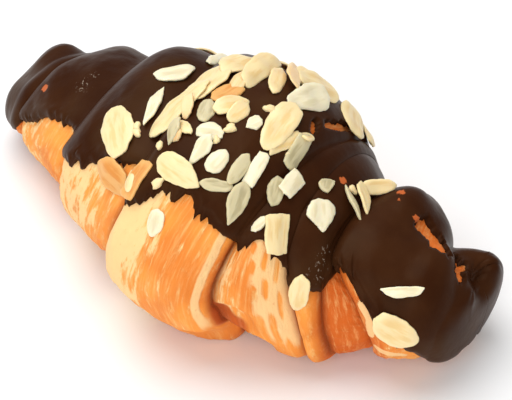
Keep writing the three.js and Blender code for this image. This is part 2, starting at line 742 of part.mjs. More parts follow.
// Points over each triangle of a flake's underside, in shares of its half length and half width.
function undersideSamples(outline) {
  const mixes = [];
  for (let i = 0; i <= 4; i += 1) {
    for (let j = 0; j <= 4 - i; j += 1) {
      mixes.push([i / 4, j / 4, (4 - i - j) / 4]);
    }
  }
  return FLAKE_FACE.flatMap((corners) => mixes.map((mix) => ({
    u: corners.reduce((sum, c, k) => sum + outline[c].u * mix[k], 0),
    v: corners.reduce((sum, c, k) => sum + outline[c].v * mix[k], 0),
    corners,
    mix,
  })));
}

// Lays a flake on whatever is under it: of the tips and arches it can have, the one that lets it lie lowest.
function layFlake(kind, frame, seed, ground) {
  const outline = flakeOutline(kind, seed);
  const samples = undersideSamples(outline);
  for (const sample of samples) {
    const point = frame.middle.clone()
      .addScaledVector(frame.along, sample.u)
      .addScaledVector(frame.across, sample.v);
    sample.ground = heightOver(point, frame.out, ground);
  }
  const long = frame.along.length();
  const wide = frame.across.length();
  let best = null;
  for (const tipLong of TIPS.map((tip) => tip * long)) {
    for (const tipWide of TIPS.map((tip) => tip * wide)) {
      for (const archLong of ARCHES.map((arch) => arch * long)) {
        const rest = { lift: 0, tipLong, tipWide, archLong, archWide: 0.04 * wide };
        const heights = outline.map((p) => undersideHeight(rest, p.u, p.v));
        const over = samples.map(({ ground: g, corners, mix }) => (
          g - corners.reduce((sum, c, k) => sum + heights[c] * mix[k], 0)
        ));
        rest.lift = Math.max(...over) + FLAKE_GAP;
        const mean = rest.lift + archLong / 2;
        const effort = mean + 0.15 * (Math.abs(tipLong) + Math.abs(tipWide));
        if (!best || effort < best.effort) {
          best = { effort, rest };
        }
      }
    }
  }
  return { geometry: flakeGeometry(outline, frame, best.rest), lift: best.rest.lift };
}

// A flake where the photo shows it: its plane is the surface's under it, tipped if it would be too long.
function seenFlake(flake, seed, targets) {
  const [a, b] = flake.ends;
  const centre = [(a[0] + b[0]) / 2, (a[1] + b[1]) / 2];
  const long = Math.hypot(b[0] - a[0], b[1] - a[1]);
  const side = [((b[1] - a[1]) * flake.width) / (2 * long), ((a[0] - b[0]) * flake.width) / (2 * long)];
  const out = new THREE.Vector3();
  for (const [u, v] of FOOTPRINT) {
    const pixel = [0, 1].map((k) => centre[k] + (u * (b[k] - a[k])) / 2 + v * side[k]);
    const hit = seen(pixel, targets);
    if (hit) {
      out.add(hit.face.normal);
    }
  }
  out.normalize();
  const { direction } = sightLine(centre);
  if (flake.leans) {
    out.copy(direction).negate();
  }
  const middle = seen(centre, targets).point;
  const reach = (pixel, longest) => {
    const plane = new THREE.Plane().setFromNormalAndCoplanarPoint(out, middle);
    const v = sightLine(pixel).intersectPlane(plane, new THREE.Vector3()).sub(middle);
    const depth = v.dot(direction);
    v.addScaledVector(direction, -depth);
    const most = Math.sqrt(Math.max(longest * longest - v.lengthSq(), 0));
    return v.addScaledVector(direction, THREE.MathUtils.clamp(depth, -most, most));
  };
  const along = reach(b, LONGEST_FLAKE / 2);
  const across = reach([centre[0] + side[0], centre[1] + side[1]], WIDEST_FLAKE / 2);
  const facing = new THREE.Vector3().crossVectors(across, along).normalize();
  const frame = { middle, along, across, out: facing };
  if (facing.dot(direction) > 0) {
    facing.negate();
    across.negate();
  }
  // The lift would carry the flake off its sight line, so its middle moves back along its own plane.
  const ground = nearby(targets, middle, along.length() + 12);
  let laid = layFlake(flake.kind, frame, seed, ground);
  for (let again = 0; again < 2; again += 1) {
    const slope = Math.min(facing.dot(direction), -0.35);
    const rise = laid.lift + FLAKE_THICKNESS;
    const back = direction.clone().divideScalar(slope).sub(facing).multiplyScalar(rise);
    laid = layFlake(flake.kind, { ...frame, middle: middle.clone().add(back) }, seed, ground);
  }
  return laid.geometry;
}

// A flake behind the ridge, laid where a line in from outside the body at that angle meets it.
function backFlake(flake, seed, targets) {
  const s = section(flake.x);
  const angle = THREE.MathUtils.degToRad(flake.angle);
  const outwards = new THREE.Vector3(0, -Math.sin(angle), Math.cos(angle));
  const start = new THREE.Vector3(flake.x, s.y, s.z).addScaledVector(outwards, 3 * s.half);
  const hit = new THREE.Raycaster(start, outwards.clone().negate()).intersectObjects(targets, false)[0];
  const facing = hit.face.normal.clone();
  const alongX = new THREE.Vector3(1, 0, 0).addScaledVector(facing, -facing.x).normalize();
  const turn = THREE.MathUtils.degToRad(flake.turn);
  const along = alongX.applyAxisAngle(facing, turn).multiplyScalar(flake.length / 2);
  const across = new THREE.Vector3().crossVectors(along, facing).setLength(flake.width / 2);
  const frame = { middle: hit.point, along, across, out: facing };
  return layFlake(flake.kind, frame, seed, nearby(targets, hit.point, along.length() + 12)).geometry;
}

// ---- Crumbs and bare spots of the chocolate ----

// Turns a shape's own +Z to the surface that a pixel shows, with its X along a direction given in the photo.
function setOnSurface(geometry, pixel, turn, targets) {
  const hit = seen(pixel, targets);
  const angle = THREE.MathUtils.degToRad(turn);
  const inPhoto = sightRight.clone()
    .multiplyScalar(Math.cos(angle))
    .addScaledVector(sightUp, Math.sin(angle));
  const out = hit.face.normal;
  const x = inPhoto.addScaledVector(out, -inPhoto.dot(out)).normalize();
  const y = new THREE.Vector3().crossVectors(out, x);
  geometry.applyMatrix4(new THREE.Matrix4().makeBasis(x, y, out).setPosition(hit.point));
  return toSolid(geometry);
}

function crumb({ pixel, size }, targets) {
  const shape = new THREE.OctahedronGeometry(size / 2).scale(1, 0.8, 0.55);
  return setOnSurface(shape, pixel, pixel[0] * 7, targets);
}

function bareSpot({ pixel, length, width, turn }, targets) {
  const depth = 2 * (COAT_THICKNESS + GAP);
  const shape = new THREE.CylinderGeometry(0.5, 0.5, 2 * depth, 7);
  shape.rotateX(Math.PI / 2).scale(length, width, 1);
  return setOnSurface(shape, pixel, turn, targets);
}

// ---- Building the croissant ----

const pastry = toSolid(flattenUnderside(bodyGeometry(PASTRY_SKIN, LAYER_ROWS)));
const coatOutside = toSolid(bodyGeometry(COAT_OUTSIDE, COAT_ROWS));
const coatInside = toSolid(bodyGeometry(COAT_INSIDE, LAYER_ROWS));
const plainCoat = largestPiece(coatOutside.intersect(coatReach()).subtract(coatInside));
const plainCoatMesh = new THREE.Mesh(toGeometry(plainCoat));
let coat = plainCoat;
for (const spot of BARE_SPOTS) {
  coat = coat.subtract(bareSpot(spot, [plainCoatMesh]));
}
for (const bit of CRUMBS) {
  coat = coat.add(crumb(bit, [plainCoatMesh]).subtract(coatInside));
}
coat = largestPiece(coat);

const group = new THREE.Group();

function addPiece(name, geometry, colour, roughness) {
  const material = new THREE.MeshStandardMaterial({ color: colour, roughness, metalness: 0 });
  const mesh = new THREE.Mesh(geometry, material);
  mesh.name = name;
  group.add(mesh);
  mesh.updateMatrixWorld(true);
  return mesh;
}

const laid = [
  addPiece("croissant", toGeometry(pastry), 0xe8a05a, 0.65),
  addPiece("chocolate_coat", toGeometry(coat), 0x3a2014, 0.4),
];
function addFlake(geometry) {
  const number = String(laid.length - 1).padStart(2, "0");
  laid.push(addPiece(`almond_${number}`, geometry, 0xefe0b4, 0.6));
}
FLAKES.forEach((flake, i) => addFlake(seenFlake(flake, i + 1, laid)));
BACK_FLAKES.forEach((flake, i) => addFlake(backFlake(flake, i + 101, laid)));

export default group;
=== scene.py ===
import math
from collections import namedtuple

import bpy
import numpy as np
from mathutils import Matrix, Vector
from mathutils.bvhtree import BVHTree
from mathutils.kdtree import KDTree


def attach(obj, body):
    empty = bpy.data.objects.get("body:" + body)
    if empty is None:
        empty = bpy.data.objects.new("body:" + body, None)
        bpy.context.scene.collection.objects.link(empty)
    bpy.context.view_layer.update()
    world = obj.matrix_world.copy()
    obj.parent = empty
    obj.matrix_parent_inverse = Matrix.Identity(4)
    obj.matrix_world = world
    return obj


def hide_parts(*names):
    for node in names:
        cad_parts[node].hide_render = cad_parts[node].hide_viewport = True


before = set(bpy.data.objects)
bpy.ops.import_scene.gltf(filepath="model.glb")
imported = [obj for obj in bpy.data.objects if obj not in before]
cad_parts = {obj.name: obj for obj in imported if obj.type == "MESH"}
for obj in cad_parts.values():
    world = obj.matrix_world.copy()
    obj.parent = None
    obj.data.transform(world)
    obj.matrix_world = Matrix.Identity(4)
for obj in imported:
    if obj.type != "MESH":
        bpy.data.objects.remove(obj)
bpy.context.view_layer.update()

# ---------------------------------------------------------------------------
# The croissant: a triangle of laminated dough, rolled up from its wide edge with its horns bent back, and
# baked until the crust is orange brown, with paler skin where the layers split. It is one piece, whose layers
# show as overlapping wraps with soft edges.
# ---------------------------------------------------------------------------

MM = 0.001

# Cross-sections along the roll, in mm: x, half width, middle in y, lift off the tray.
SECTIONS = np.array([
    (-76.4, 0, 10.5, 8), (-75.6, 4.6, 9.7, 6.8), (-73.7, 8.2, 9.4, 6.3), (-70.2, 11.2, 9.3, 5.8),
    (-64.5, 14.4, 9, 5.5), (-57, 16.7, 7.5, 5), (-46, 20.6, 3.5, 4.7), (-36, 23.8, 0, 4.4),
    (-22, 29, -4, 4.2), (-8, 34.2, -7, 2.4), (6, 35.6, -8.7, 0.8), (18, 35, -9, 0.2),
    (30, 31.8, -8, 0), (42, 24.7, -8.6, 0.4), (53, 20.8, -7, 2.6), (63, 16.2, -4.8, 6),
    (69.5, 16.8, -2.3, 5.6), (73, 16.3, -0.5, 5.8), (75.4, 13.8, 1.8, 8.2), (76.5, 9.6, 3.2, 13.4),
    (76.9, 4.8, 3.8, 18.2), (77, 0, 4, 22),
])
SECTION_X, SECTION_HALF, SECTION_Y, SECTION_LIFT = SECTIONS.T
HEIGHT_TO_WIDTH = 0.82
MIDDLE_HEIGHT = 0.9  # of the roll's middle over its lowest line, as a share of its half height
TIP_HALF_WIDTH = 12  # where the roll is thinner than this, its relief gets shallower
MIDDLE_RADIUS = 34
CROSSING_ANGLES = (-180, -90, -30, 0, 30, 60, 90, 130, 180)
# The edge of a wrap: x at each crossing angle, the side it lies on, height, overhang, crease, softness, and
# the angles between which it runs out.
Fold = namedtuple("Fold", "crossings onto step tuck crease soft ends")
FOLDS = [
    Fold((-62, -54, -57.5, -61, -65, -66.5, -67.5, -67, -62), 1, 1.6, 0.3, 0.6, 1.6, None),
    Fold((-57, -49, -53, -57, -59.5, -62.5, -64, -63, -57), 1, 2, 0.3, 0.6, 1.8, None),
    Fold((-33, -27, -29, -31, -33, -36.5, -38.5, -38, -33), 1, 4.6, 0.9, 1.6, 3.2, None),
    Fold((-14, -13, -8, -5.5, -3.5, -6, -10.5, -14, -14), 1, 3.8, 0.8, 1.2, 3.2, None),
    Fold((22, 27, 29, 27, 25.5, 23, 21.5, 24, 22), -1, 3.8, 1.2, 1.6, 3, None),
    Fold((36, 33.5, 34, 34.5, 35.5, 39.5, 43, 44.5, 36), 1, 1, 0.2, 0.5, 2.2, None),
    Fold((46.5, 42, 41.5, 41.5, 42.5, 45.5, 47.5, 48.8, 46.5), -1, 2.6, 0.6, 1.6, 3.6, (110, 170)),
    Fold((55, 46.5, 44.5, 44.5, 46.5, 54, 58.5, 58, 55), 1, 6.5, 0.8, 1.6, 9.5, (90, 170)),
    Fold((67, 62, 65, 69.5, 72.8, 73.8, 73, 71, 67), -1, 4.5, 0.5, 1.2, 3, (30, 75)),
]
# Height in the middle of each wrap over its two edges.
CROWNS = (0, 0.3, 1.8, 1.6, 2, 1.8, 0.4, -1.2, 1.8, 0.6)
# Local swellings and hollows: middle, reach, how sharply it ends, and how far it moves the dough.
LUMPS = [
    ((-67, 14, 24.5), 10.5, 2, (-0.6, 1.8, 2.8)),
    ((59, 11, 30), 12, 2, (0, 0.8, 0.8)),
    ((46, 10, 37), 9, 2, (0, 0.8, 1.6)),
    ((29, -34, 8), 9, 2, (0, 3, 3)),
    ((20.5, -38.5, 8), 10, 2, (0, 2.6, 3.2)),
    ((22.5, -33.5, 5), 7, 2, (0, 1.5, 2)),
    ((27.5, -40.5, 19), 7, 4, (0, 3, 0.5)),
    ((53, 6, 38), 9, 2, (0, 0.6, 1.8)),
    ((43, -30, 5), 11, 2, (0, -2, 0)),
    ((53.5, -22.5, 9), 9, 2, (0, -1.6, -1.8)),
    ((74.6, 3.4, 28.8), 7.6, 4, (-1.8, 0.6, -2.6)),
    ((76.6, 2.6, 24.6), 6.4, 4, (-2.8, 0.6, -1.2)),
]
# How much of each crease is filled, how much of each overhang is kept.
PASTRY_SKIN = (0, 1)


def smooth_table(x, places, values):
    """A smooth curve through the values at the places, read at x."""
    places, values = np.asarray(places, float), np.asarray(values, float)
    step = np.diff(places)
    rise = np.diff(values) / step
    inner = (rise[:-1] * step[1:] + rise[1:] * step[:-1]) / (step[:-1] + step[1:])
    slope = np.concatenate([rise[:1], inner, rise[-1:]])
    at = np.clip(x, places[0], places[-1])
    k = np.clip(np.searchsorted(places, at, side="right") - 1, 0, len(step) - 1)
    h = step[k]
    t = (at - places[k]) / h
    t2, t3 = t * t, t * t * t
    return ((2 * t3 - 3 * t2 + 1) * values[k] + (t3 - 2 * t2 + t) * h * slope[k]
            + (3 * t2 - 2 * t3) * values[k + 1] + (t3 - t2) * h * slope[k + 1])


def ease_step(t):
    """0 below 0, 1 above 1, smooth between them."""
    s = np.clip(t, 0, 1)
    return s * s * (3 - 2 * s)


def section(x):
    """Half width, half height and middle of the roll at x."""
    half = np.maximum(smooth_table(x, SECTION_X, SECTION_HALF), 0)
    tall = half * HEIGHT_TO_WIDTH
    y = smooth_table(x, SECTION_X, SECTION_Y)
    z = tall * MIDDLE_HEIGHT + smooth_table(x, SECTION_X, SECTION_LIFT)
    return half, tall, y, z


def half_turns(angle):
    """The same angle from -180 to 180 degrees."""
    return (angle + 180) % 360 - 180


def fold_x(fold, angle):
    """x of a wrap's edge at an angle round the body, closed smoothly under it."""
    x = fold.crossings
    return smooth_table(half_turns(angle), (-230, *CROSSING_ANGLES, 270), (x[7], *x, x[1]))


def fold_strength(fold, angle):
    """1 where the edge stands in full, 0 where it has run out."""
    if fold.ends is None:
        return np.ones_like(angle)
    a = half_turns(angle)
    start, end = fold.ends
    return (1 - ease_step((a - start) / (end - start))) * (1 - ease_step((-60 - a) / 60))


def layer_profile(layer, share, angle, skin):
    """x, height over the plain section, and how close a crease is (0 to 1), across one wrap."""
    fill, keep_tuck = skin
    left = FOLDS[layer - 1] if layer > 0 else None
    right = FOLDS[layer] if layer < len(FOLDS) else None
    x0 = fold_x(left, angle) if left else np.full_like(angle, SECTION_X[0])
    x1 = fold_x(right, angle) if right else np.full_like(angle, SECTION_X[-1])
    width = x1 - x0
    x = x0 + width * share
    sides = []
    if left:
        sides.append((left, 1, x - x0))
    if right:
        sides.append((right, -1, x1 - x))
    values = []
    for fold, side, distance in sides:
        sign = 0.5 if fold.onto == side else -0.5
        values.append(sign * fold.step * fold_strength(fold, angle))
    start = values[0] if left else values[-1]
    end = values[-1] if right else values[0]
    ease = ease_step(share)
    height = start * (1 - ease) + end * ease + CROWNS[layer] * 4 * share * (1 - share)
    shift = 0.0
    crevice = np.zeros_like(x)
    for fold, side, distance in sides:
        strength = fold_strength(fold, angle)
        upper = fold.onto == side
        top = 0.5 * fold.step * strength
        crease = (-0.5 * fold.step - fold.crease) * strength
        crease = crease + fill * (top - crease)
        reach = np.minimum(fold.soft * (1 if upper else 1.6), width * 0.45)
        u = np.clip(distance / reach, 0, 1)
        rounding = np.sqrt(1 - (1 - u) ** 2) if upper else np.sin(u * np.pi / 2)
        height = crease + (height - crease) * rounding
        if upper:
            on_top = 0.5 + 0.5 * np.cos(np.radians(angle))
            shift = shift - side * fold.tuck * strength * on_top * np.sin(np.pi * rounding) * keep_tuck
            crevice = np.maximum(crevice, strength * np.clip(1 - distance / (0.45 * reach), 0, 1))
        else:
            crevice = np.maximum(crevice, strength * np.clip(1 - distance / (0.7 * reach + 0.8), 0, 1))
    a = np.radians(angle)
    uneven = (0.45 * np.sin(0.19 * x + 2 * a) + 0.35 * np.sin(0.31 * x - 3 * a + 1.3)
              + 0.25 * np.sin(0.11 * x + 5 * a))
    return x + shift, height + uneven, crevice


def surface_points(layer, share, angle, skin):
    """Points of one wrap's surface, and how close a crease is."""
    x, height, crevice = layer_profile(layer, share, angle, skin)
    half, tall, y, z = section(x)
    height = height * np.minimum(half / TIP_HALF_WIDTH, 1)
    a = np.radians(angle)
    p = np.stack([x, y - (half + height) * np.sin(a), z + (tall + height) * np.cos(a)], -1)
    start = p.copy()
    for at, reach, edge, push in LUMPS:
        away = np.linalg.norm(start - np.array(at), axis=-1) / reach
        p += (np.clip(1 - away ** edge, 0, 1) ** 2)[..., None] * np.array(push, float)
    return p, crevice


def lattice(i, j, seed):
    """A random value from 0 to 1 for each pair of whole numbers."""
    n = (i.astype(np.int64) * 374761393 + j.astype(np.int64) * 668265263 + seed * 974634777) & 0x7FFFFFFF
    n = ((n ^ (n >> 13)) * 1274126177) & 0x7FFFFFFF
    return ((n ^ (n >> 16)) & 0xFFFF) / 65535.0


def ripple(u, v, cell_u, cells_v, seed):
    """Smooth noise from -1 to 1 over u in mm and v in degrees round the body, closed after 360 degrees."""
    a = np.asarray(u) / cell_u + 1000
    b = (np.asarray(v) % 360) / 360 * cells_v
    i, j = np.floor(a), np.floor(b)
    s, t = a - i, b - j
    s, t = s * s * (3 - 2 * s), t * t * (3 - 2 * t)
    j1 = (j + 1) % cells_v
    top = lattice(i, j, seed) * (1 - s) + lattice(i + 1, j, seed) * s
    low = lattice(i, j1, seed) * (1 - s) + lattice(i + 1, j1, seed) * s
    return 2 * (top * (1 - t) + low * t) - 1


def grid_normals(p, closed):
    """Outward normals of a grid of rows along the body and columns round it."""
    along = np.gradient(p, axis=0)
    if closed:
        around = np.roll(p, -1, axis=1) - np.roll(p, 1, axis=1)
    else:
        around = np.gradient(p, axis=1)
    n = np.cross(around, along)
    return n / np.maximum(np.linalg.norm(n, axis=-1, keepdims=True), 1e-9)


def grid_faces(index, closed=False):
    """Faces between the rows of a grid of point numbers, whose columns may close into a ring."""
    near = index if closed else index[:, :-1]
    far = np.roll(index, -1, axis=1) if closed else index[:, 1:]
    return np.stack([near[:-1], far[:-1], far[1:], near[1:]], -1).reshape(-1, 4)


def fan(tip, ring):
    """Faces from one point to each step of a ring of points."""
    return [(tip, near, far) for near, far in zip(ring, np.roll(ring, -1))]


def add_mesh(name, points, faces):
    """A smooth-shaded piece from points in mm."""
    mesh = bpy.data.meshes.new(name)
    mesh.vertices.add(len(points))
    mesh.vertices.foreach_set("co", (np.asarray(points, float) * MM).ravel())
    sizes = np.array([len(f) for f in faces])
    corners = np.concatenate([np.asarray(f) for f in faces])
    mesh.loops.add(len(corners))
    mesh.loops.foreach_set("vertex_index", corners)
    mesh.polygons.add(len(sizes))
    mesh.polygons.foreach_set("loop_start", np.concatenate([[0], np.cumsum(sizes)[:-1]]))
    mesh.polygons.foreach_set("use_smooth", np.full(len(sizes), True))
    mesh.update()
    mesh.validate()
    obj = bpy.data.objects.new(name, mesh)
    bpy.context.scene.collection.objects.link(obj)
    return obj


def add_numbers(obj, name, values):
    """A number for each point, which a material can read."""
    layer = obj.data.attributes.new(name, "FLOAT", "POINT")
    layer.data.foreach_set("value", np.asarray(values, np.float32).ravel())


def add_vectors(obj, name, values):
    """A place for each point, which a material can read."""
    layer = obj.data.attributes.new(name, "FLOAT_VECTOR", "POINT")
    layer.data.foreach_set("vector", np.asarray(values, np.float32).ravel())


ROWS_PER_LAYER = (60, 10, 56, 52, 80, 24, 20, 16, 52, 52)
COLUMNS = 232
# The wraps that are treated by name, counted from the left horn.
MIDDLE_WRAP = 4
FRAYED_WRAP = 5
VALLEY = 7
RIGHT_LOBE = 8


def layer_shares(layer, count):
    """Shares across a wrap, closer together at its edges; over a horn's end, even along its outline."""
    t = np.arange(count) / count
    last = len(ROWS_PER_LAYER) - 1
    if layer not in (0, last):
        return t - 0.11 * np.sin(2 * np.pi * t)
    fine = np.linspace(0, 1, 2000)
    x0 = SECTION_X[0] if layer == 0 else fold_x(FOLDS[-1], np.zeros(1))[0]
    x1 = fold_x(FOLDS[0], np.zeros(1))[0] if layer == 0 else SECTION_X[-1]
    x = x0 + (x1 - x0) * fine
    length = np.concatenate([[0], np.cumsum(np.hypot(np.diff(x), np.diff(section(x)[0])))])
    steps = np.linspace(0, 1, count) if layer == last else t
    return np.interp(steps * length[-1], length, fine)


def body_rows(skin, angles):
    """Rows of points over the whole roll, with their creases, wraps and shares across the wrap."""
    parts = []
    for layer, count in enumerate(ROWS_PER_LAYER):
        share, angle = np.meshgrid(layer_shares(layer, count), angles, indexing="ij")
        points, crevice = surface_points(layer, share, angle, skin)
        parts.append((points, crevice, np.full(share.shape, layer), share))
    return [np.concatenate(part) for part in zip(*parts)]


column_angles = np.arange(COLUMNS) * 360 / COLUMNS - 180
pastry_points, crevice, layer_of, share_of = body_rows(PASTRY_SKIN, column_angles)
angle_of = np.broadcast_to(column_angles, crevice.shape)
x_of = pastry_points[..., 0]

# Place across each wrap in mm, so that the grain of the dough follows the wraps' edges.
edges_in_front = [SECTION_X[0], *(float(fold_x(fold, 90.0)) for fold in FOLDS), SECTION_X[-1]]
across = share_of * np.diff(edges_in_front)[layer_of] + 100 * layer_of
half_here = section(x_of)[0]

# The crust: shallow wrinkles round the roll, blisters, and skin that has split off in thin scales.
WRINKLE_HEIGHT = 0.16
SCALE_HEIGHT = 0.22
BLISTER_HEIGHT = 0.6
wrinkle = ripple(across, angle_of, 2.4, 20, 1) * 0.5 + ripple(across, angle_of, 1.1, 26, 2) * 0.5
split_field = ripple(across, angle_of, 5.0, 22, 3) * 0.6 + ripple(across, angle_of, 2.0, 40, 4) * 0.45
skin_scale = ease_step((split_field - 0.12) / 0.10)
in_valley = ease_step((angle_of - 15) / 25) * (layer_of == VALLEY)
blister = (np.clip(ripple(x_of, angle_of, 2.6, 90, 5), 0.35, 1) - 0.35) * (0.6 + 1.6 * in_valley)
relief = WRINKLE_HEIGHT * wrinkle + SCALE_HEIGHT * skin_scale + BLISTER_HEIGHT * blister
relief = relief * np.clip(half_here / TIP_HALF_WIDTH, 0, 1) * (1 - 0.8 * crevice)
normals = grid_normals(pastry_points, True)
pastry_fine = pastry_points + normals * relief[..., None]
pastry_fine[..., 2] = np.maximum(pastry_fine[..., 2], 0)


def with_poles(values):
    """The rows' values in one list, with the first and the last row drawn together to one point each."""
    middle = values[1:-1].reshape(-1, *values.shape[2:])
    return np.concatenate([values[:1].mean(axis=1), middle, values[-1:].mean(axis=1)])


rings = 1 + np.arange((len(crevice) - 2) * COLUMNS).reshape(-1, COLUMNS)
ring_faces = map(tuple, grid_faces(rings, closed=True))
tip_faces = fan(0, rings[0][::-1]) + fan(rings.size + 1, rings[-1])
pastry = add_mesh("pastry", with_poles(pastry_fine), [*ring_faces, *tip_faces])
add_numbers(pastry, "crevice", with_poles(crevice))


def distance_to_line(p, line):
    """Distance from points to a line through a few places."""
    line = np.array(line, float)
    best = np.full(p.shape[:-1], 1e9)
    for start, end in zip(line[:-1], line[1:]):
        t = np.clip(((p - start) @ (end - start)) / ((end - start) @ (end - start)), 0, 1)
        best = np.minimum(best, np.linalg.norm(p - start - t[..., None] * (end - start), axis=-1))
    return best


# Where the chocolate over it is torn off: the line along each patch and its half width.
BARE_PATCHES = [
    (((58.6, 1.9, 35.3), (61.1, 1.0, 34.2), (63.5, 0.0, 33.7), (66.2, -1.9, 34.3)), 2.8),
    (((67.9, 1.7, 27.5), (71.1, -2.1, 29.1), (72.6, -3.8, 29.0)), 1.7),
    (((71.1, -2.1, 29.1), (71.1, 1.3, 27.7)), 1.5),
    (((24.6, 3.0, 53.6), (25.8, 0.6, 52.9)), 1.1),
    (((26.2, 6.4, 50.6), (28.0, 13.0, 45.6), (28.2, 19.6, 39.9)), 1.3),
]


def band(distance, start, end, soft=0.35):
    """1 between two distances, in mm."""
    return ease_step((distance - start) / soft) * (1 - ease_step((distance - end) / soft))


# Pale layers at the cut edges of the dough: beside the middle wrap's right edge, and over the wrap after it.
from_edge = fold_x(FOLDS[MIDDLE_WRAP], angle_of) - x_of + 0.5 * ripple(x_of, angle_of, 50, 24, 6)
layers = np.where(layer_of == MIDDLE_WRAP, np.maximum.reduce([
    band(from_edge, 0.0, 1.5, 0.9), 0.5 * band(from_edge, 3.2, 3.6, 0.6),
]), 0)
from_edge = fold_x(FOLDS[FRAYED_WRAP], angle_of) - x_of + 0.4 * ripple(x_of, angle_of, 50, 20, 7)
layers = np.where(layer_of == FRAYED_WRAP, np.maximum.reduce([
    band(from_edge, 0.2, 2.1), 0.9 * band(from_edge, 2.7, 4.6),
    0.8 * band(from_edge, 5.3, 7.4), 0.5 * band(from_edge, 8.0, 9.0),
]), layers)
layers = layers * ease_step((angle_of - 20) / 20) * ease_step((122 - angle_of) / 25)
# Where the skin is paler, at the left sides of the wraps, and where it is redder, in the valley and low down.
paler = np.zeros_like(x_of)
for layer, reach, most in ((1, 0.9, 0.3), (2, 0.5, 0.5), (3, 0.7, 0.9), (4, 0.42, 1.4), (5, 0.35, 0.5)):
    paler = np.where(layer_of == layer, most * (1 - ease_step((share_of - reach * 0.4) / reach)), paler)
redder = np.where(layer_of == VALLEY, 1.0, 0) + np.where(layer_of <= 1, 0.75, 0)
redder = np.where(layer_of == VALLEY - 1, 0.8 * ease_step((share_of - 0.6) / 0.4), redder)
redder = redder + 0.35 * ease_step((angle_of - 95) / 40)
redder = np.where(layer_of == RIGHT_LOBE, 0.8 * (1 - ease_step((share_of - 0.30) / 0.12)), redder)


def along_line(line, reach, soft):
    """1 on the dough within reach of a line, in mm."""
    return 1 - ease_step((distance_to_line(pastry_points, line) - reach) / soft)


for line, reach in BARE_PATCHES:
    redder = np.maximum(redder, 0.9 * along_line(line, reach, 2))
# Scraps of pale skin that stand off beside the right horn's chocolate: line and half width.
SCRAPS = [
    (((56.4, -24, 27.5), (59.4, -24.6, 25.2), (60.2, -25.2, 20.6)), 1.0),
    (((61.5, -25, 15.5), (64, -23.9, 14.2), (67.5, -20, 11.5)), 0.9),
]
for line, reach in SCRAPS:
    layers = np.maximum(layers, along_line(line, reach, 0.5))
# The hollow under the middle wrap's foot, darkened with painted shade.
HOLLOW_LINE = ((21.5, -38, 21), (24.5, -37, 16), (27.5, -36.5, 14.5))
hollow_shade = along_line(HOLLOW_LINE, 2.4, 2.0) * (layer_of >= MIDDLE_WRAP)
round_the_body = np.radians(angle_of) * MIDDLE_RADIUS
add_numbers(pastry, "hollow_shade", with_poles(hollow_shade))
add_numbers(pastry, "layers", with_poles(layers))
add_numbers(pastry, "paler", with_poles(paler))
add_numbers(pastry, "redder", with_poles(np.clip(redder, 0, 1)))
add_vectors(pastry, "roll", with_poles(np.stack([across, round_the_body, 20 * layer_of], -1)))

# The crust's colours: its general brown, paler skin, bare layers, redder skin, and painted shade for the
# creases and the hollow.
PASTRY_MID = (0.94, 0.335, 0.055)
PASTRY_PALE = (0.97, 0.56, 0.20)
PASTRY_CREAM = (0.96, 0.64, 0.30)
PASTRY_RED = (0.62, 0.108, 0.009)
PASTRY_CREASE_SHADE = (0.33, 0.055, 0.008)
PASTRY_HOLLOW_SHADE = (0.56, 0.095, 0.012)


class Finish:
    """A material in the making: each call adds a node to it and returns what the node gives."""

    def __init__(self, name):
        self.material = bpy.data.materials.new(name)
        self.material.use_nodes = True
        self.tree = self.material.node_tree
        self.shader = self.tree.nodes["Principled BSDF"]

    def node(self, kind, inputs, output=0, **settings):
        """One output of a new node, whose inputs are linked to other nodes or set to values."""
        node = self.tree.nodes.new(kind)
        for key, value in settings.items():
            setattr(node, key, value)
        for key, value in inputs.items():
            if isinstance(value, bpy.types.NodeSocket):
                self.tree.links.new(value, node.inputs[key])
            else:
                node.inputs[key].default_value = value
        return node.outputs[output]

    def carried(self, name, output="Fac"):
        """A value that the mesh carries for each point."""
        return self.node("ShaderNodeAttribute", {}, output, attribute_name=name)

    def stretched(self, space, scale):
        """The same space, with its three directions scaled."""
        return self.node("ShaderNodeMapping", {"Vector": space, "Scale": scale})

    def noise(self, space, scale, detail, roughness=0.5):
        inputs = {"Vector": space, "Scale": scale, "Detail": detail, "Roughness": roughness}
        return self.node("ShaderNodeTexNoise", inputs)

    def ramp(self, value, low, high):
        """0 below low, 1 above high, smooth between them."""
        inputs = {"Value": value, "From Min": low, "From Max": high}
        return self.node("ShaderNodeMapRange", inputs, interpolation_type="SMOOTHSTEP")

    def times(self, value, factor):
        return self.node("ShaderNodeMath", {0: value, 1: factor}, operation="MULTIPLY")

    def total(self, *parts, start=0.0):
        """The sum of values, each times its weight."""
        for value, weight in parts:
            inputs = {0: value, 1: weight, 2: start}
            start = self.node("ShaderNodeMath", inputs, operation="MULTIPLY_ADD")
        return start

    def mix(self, share, under, over, most=1.0):
        """One colour laid over another by a share, up to the most of it."""
        colours = [c if isinstance(c, bpy.types.NodeSocket) else (*c, 1) for c in (under, over)]
        inputs = {0: self.times(share, most), 6: colours[0], 7: colours[1]}
        return self.node("ShaderNodeMix", inputs, 2, data_type="RGBA", clamp_factor=True)

    def give(self, colour, relief, strength, depth, values):
        """Sets the colour, a fine relief of a depth in metres, and the shader's plain values."""
        bump = self.node("ShaderNodeBump", {"Height": relief, "Strength": strength, "Distance": depth})
        self.tree.links.new(colour, self.shader.inputs["Base Color"])
        self.tree.links.new(bump, self.shader.inputs["Normal"])
        for name, value in values.items():
            self.shader.inputs[name].default_value = value


crust = Finish("baked_crust")
roll_at = crust.carried("roll", "Vector")


def grain(scale, detail, roughness):
    """Noise drawn out round the roll; scale is in cells per mm across, round and between wraps."""
    return crust.noise(crust.stretched(roll_at, scale), 1.0, detail, roughness)


